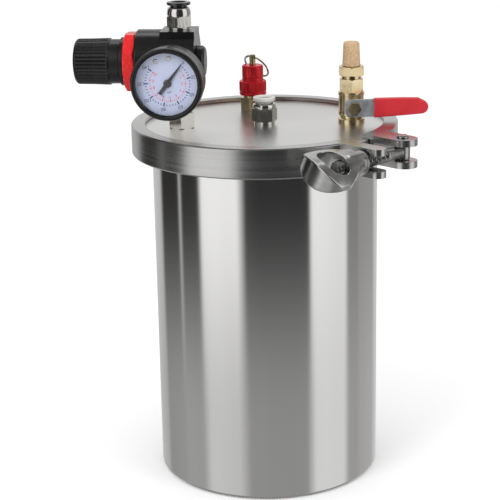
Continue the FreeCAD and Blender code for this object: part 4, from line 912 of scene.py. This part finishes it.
def emission(name, stops_high, stops_low, from_z, to_z):
    """Light for one wall: its brightness goes by compass direction, and from high to low by height."""
    material = bpy.data.materials.new(name)
    material.use_nodes = True
    tree = material.node_tree
    tree.nodes.clear()
    coordinates = tree.nodes.new("ShaderNodeTexCoord")
    parts = tree.nodes.new("ShaderNodeSeparateXYZ")
    tree.links.new(coordinates.outputs["Object"], parts.inputs["Vector"])
    flip = tree.nodes.new("ShaderNodeMath")
    flip.operation = "MULTIPLY"
    flip.inputs[1].default_value = -1.0
    tree.links.new(parts.outputs["Y"], flip.inputs[0])
    compass = tree.nodes.new("ShaderNodeMath")
    compass.operation = "ARCTAN2"
    tree.links.new(parts.outputs["X"], compass.inputs[0])
    tree.links.new(flip.outputs["Value"], compass.inputs[1])
    share = tree.nodes.new("ShaderNodeMapRange")
    share.inputs["From Min"].default_value = -math.pi
    share.inputs["From Max"].default_value = math.pi
    tree.links.new(compass.outputs["Value"], share.inputs["Value"])
    ramps = []
    for stops in (stops_high, stops_low):
        ramp = tree.nodes.new("ShaderNodeValToRGB")
        while len(ramp.color_ramp.elements) > 1:
            ramp.color_ramp.elements.remove(ramp.color_ramp.elements[-1])
        for index, (degrees, colour) in enumerate(stops):
            position = (degrees + 180) / 360
            element = (ramp.color_ramp.elements[0] if index == 0
                       else ramp.color_ramp.elements.new(position))
            element.position = position
            element.color = (*colour, 1)
        tree.links.new(share.outputs["Result"], ramp.inputs["Fac"])
        ramps.append(ramp)
    height = tree.nodes.new("ShaderNodeMapRange")
    height.interpolation_type = "SMOOTHSTEP"
    height.inputs["From Min"].default_value = from_z
    height.inputs["From Max"].default_value = to_z
    tree.links.new(parts.outputs["Z"], height.inputs["Value"])
    mix = tree.nodes.new("ShaderNodeMix")
    mix.data_type = "RGBA"
    tree.links.new(height.outputs["Result"], mix.inputs["Factor"])
    tree.links.new(ramps[0].outputs["Color"], mix.inputs["A"])
    tree.links.new(ramps[1].outputs["Color"], mix.inputs["B"])
    glow = tree.nodes.new("ShaderNodeEmission")
    glow.inputs["Strength"].default_value = 1.0
    tree.links.new(mix.outputs["Result"], glow.inputs["Color"])
    output = tree.nodes.new("ShaderNodeOutputMaterial")
    tree.links.new(glow.outputs["Emission"], output.inputs["Surface"])
    return material


def grey(value, warm=0.0):
    """A neutral brightness, or a slightly warm one."""
    return (value * (1 + warm), value, value * (1 - warm))


DARK = grey(0.03)
BRIGHT = grey(1.1)
high_stops = [(-180, grey(0.62)), (-137, grey(0.6)), (-133, grey(0.5)),
              (-127, grey(0.035, 0.03)), (-98, grey(0.03, 0.03)), (-96.5, grey(0.5)), (-94.5, grey(0.5)),
              (-92, DARK), (-71, grey(0.035)), (-66, BRIGHT),
              (-29, BRIGHT), (-20, grey(0.045)), (-8, grey(0.03)), (42, grey(0.028)),
              (46, grey(1.02)), (86, grey(0.95)),
              (90, grey(0.26)), (104, grey(0.25)), (108, grey(0.33, 0.02)), (140, grey(0.34, 0.02)),
              (146, grey(0.6)), (180, grey(0.62))]
low_stops = [(-180, grey(0.6)), (-133, grey(0.5)), (-127, grey(0.35)), (-98, grey(0.38)),
             (-92, grey(0.42)), (-71, grey(0.42)), (-62, grey(0.7)), (-30, grey(0.66)),
             (-18, grey(0.36)), (40, grey(0.34)), (50, grey(0.8)), (84, grey(0.82)), (92, grey(0.42)),
             (104, grey(0.4)), (112, grey(0.46, 0.02)), (140, grey(0.48)), (150, grey(0.62)),
             (180, grey(0.62))]

WALL_RADIUS = 1.2
WALL_FOOT = -1.2
WALL_TOP = 1.3
FADE_START = -0.10
FADE_END = -0.43


def stage_object(name, built, material):
    """A surface of the studio, not part of the pot."""
    mesh = bpy.data.meshes.new(name)
    built.to_mesh(mesh)
    built.free()
    mesh.materials.append(material)
    made = bpy.data.objects.new(name, mesh)
    bpy.context.scene.collection.objects.link(made)
    return made


def glossy_only(thing):
    """Lets a surface be seen in reflections and nowhere else."""
    thing.visible_camera = False
    thing.visible_diffuse = False
    thing.visible_transmission = False
    thing.visible_shadow = False
    thing.visible_volume_scatter = False


def plain_panel(name, light_name, built, value):
    """A surface that glows evenly, seen only in reflections."""
    stops = [(-180, grey(value)), (180, grey(value))]
    glossy_only(stage_object(name, built, emission(light_name, stops, stops, 0, 1)))


def disc(height, radius, segments):
    """A level round sheet."""
    built = bmesh.new()
    bmesh.ops.create_circle(built, cap_ends=True, segments=segments, radius=radius,
                            matrix=Matrix.Translation((0, 0, height)))
    return built


def sheet(corners):
    """A flat sheet through its corners."""
    built = bmesh.new()
    built.faces.new([built.verts.new(corner) for corner in corners])
    return built


wall = bmesh.new()
edges = []
for step in range(180):
    angle = 2 * math.pi * step / 180
    point = (WALL_RADIUS * math.cos(angle), WALL_RADIUS * math.sin(angle))
    edges.append((wall.verts.new((*point, WALL_FOOT)), wall.verts.new((*point, WALL_TOP))))
for (low_a, high_a), (low_b, high_b) in zip(edges, edges[1:] + edges[:1]):
    wall.faces.new((low_a, high_a, high_b, low_b))
glossy_only(stage_object("studio_wall", wall,
                         emission("wall_light", high_stops, low_stops, FADE_START, FADE_END)))

plain_panel("studio_ceiling", "ceiling_light", disc(WALL_TOP, WALL_RADIUS, 64), 0.2)
plain_panel("studio_under", "under_light", disc(WALL_FOOT, WALL_RADIUS, 64), 0.3)
plain_panel("studio_back_card", "card_light",
            sheet([(-0.95, 1.0, 0.34), (0.95, 1.0, 0.34), (0.95, 1.0, 1.0), (-0.95, 1.0, 1.0)]), 0.8)
plain_panel("studio_strip", "strip_light",
            sheet([(-0.6, 0.4, 1.25), (0.6, 0.4, 1.25), (0.6, 0.9, 1.25), (-0.6, 0.9, 1.25)]), 2.0)

FLOOR_RADIUS = 7.0
floor_look = look("studio_floor", (0.9, 0.9, 0.9), 0.0, 0.9, Specular_IOR_Level=0.0)
tint(floor_look, (0.89, 0.89, 0.89), (0.91, 0.91, 0.91), 3.0)
ground = stage_object("studio_floor", disc(0, FLOOR_RADIUS, 96), floor_look)
ground.visible_glossy = False

world = bpy.data.worlds.new("studio")
bpy.context.scene.world = world
world.use_nodes = True
world.node_tree.nodes["Background"].inputs["Color"].default_value = (1, 1, 1, 1)
world.node_tree.nodes["Background"].inputs["Strength"].default_value = 1.12


def softbox(name, where, target, size, power):
    """A soft rectangular lamp that faces a target."""
    lamp = bpy.data.lights.new(name, "AREA")
    lamp.shape = "RECTANGLE"
    lamp.size, lamp.size_y = size
    lamp.energy = power
    made = bpy.data.objects.new(name, lamp)
    bpy.context.scene.collection.objects.link(made)
    away = Vector(where) - Vector(target)
    made.matrix_world = Matrix.Translation(where) @ away.to_track_quat("Z", "Y").to_matrix().to_4x4()
    made.visible_camera = False
    return made


softbox("key_light", (-0.9, -1.1, 1.3), (0, 0, 0.18), (0.7, 0.7), 9.0)
softbox("fill_light", (1.1, -0.8, 0.9), (0, 0, 0.18), (0.6, 0.9), 4.0)


# ---------------------------------------------------------------- camera

ELEVATION = math.radians(16.65)
ROLL = math.radians(-0.8351)
FOCAL_LENGTH = 111.03
SIDE_SHIFT = -0.0328
CAMERA_AT = (0, -0.9391, 0.4214)
camera_data = bpy.data.cameras.new("camera")
camera_data.lens = FOCAL_LENGTH
camera_data.sensor_width = 36.0
camera_data.shift_x = SIDE_SHIFT
camera = bpy.data.objects.new("camera", camera_data)
bpy.context.scene.collection.objects.link(camera)
right = Vector((1, 0, 0))
ahead = Vector((0, math.cos(ELEVATION), -math.sin(ELEVATION)))
up = right.cross(ahead)
local_x = right * math.cos(ROLL) + up * math.sin(ROLL)
local_y = up * math.cos(ROLL) - right * math.sin(ROLL)
camera.matrix_world = (Matrix.Translation(CAMERA_AT)
                       @ Matrix((local_x, local_y, -ahead)).transposed().to_4x4())
bpy.context.scene.camera = camera
bpy.context.scene.view_settings.view_transform = "Standard"
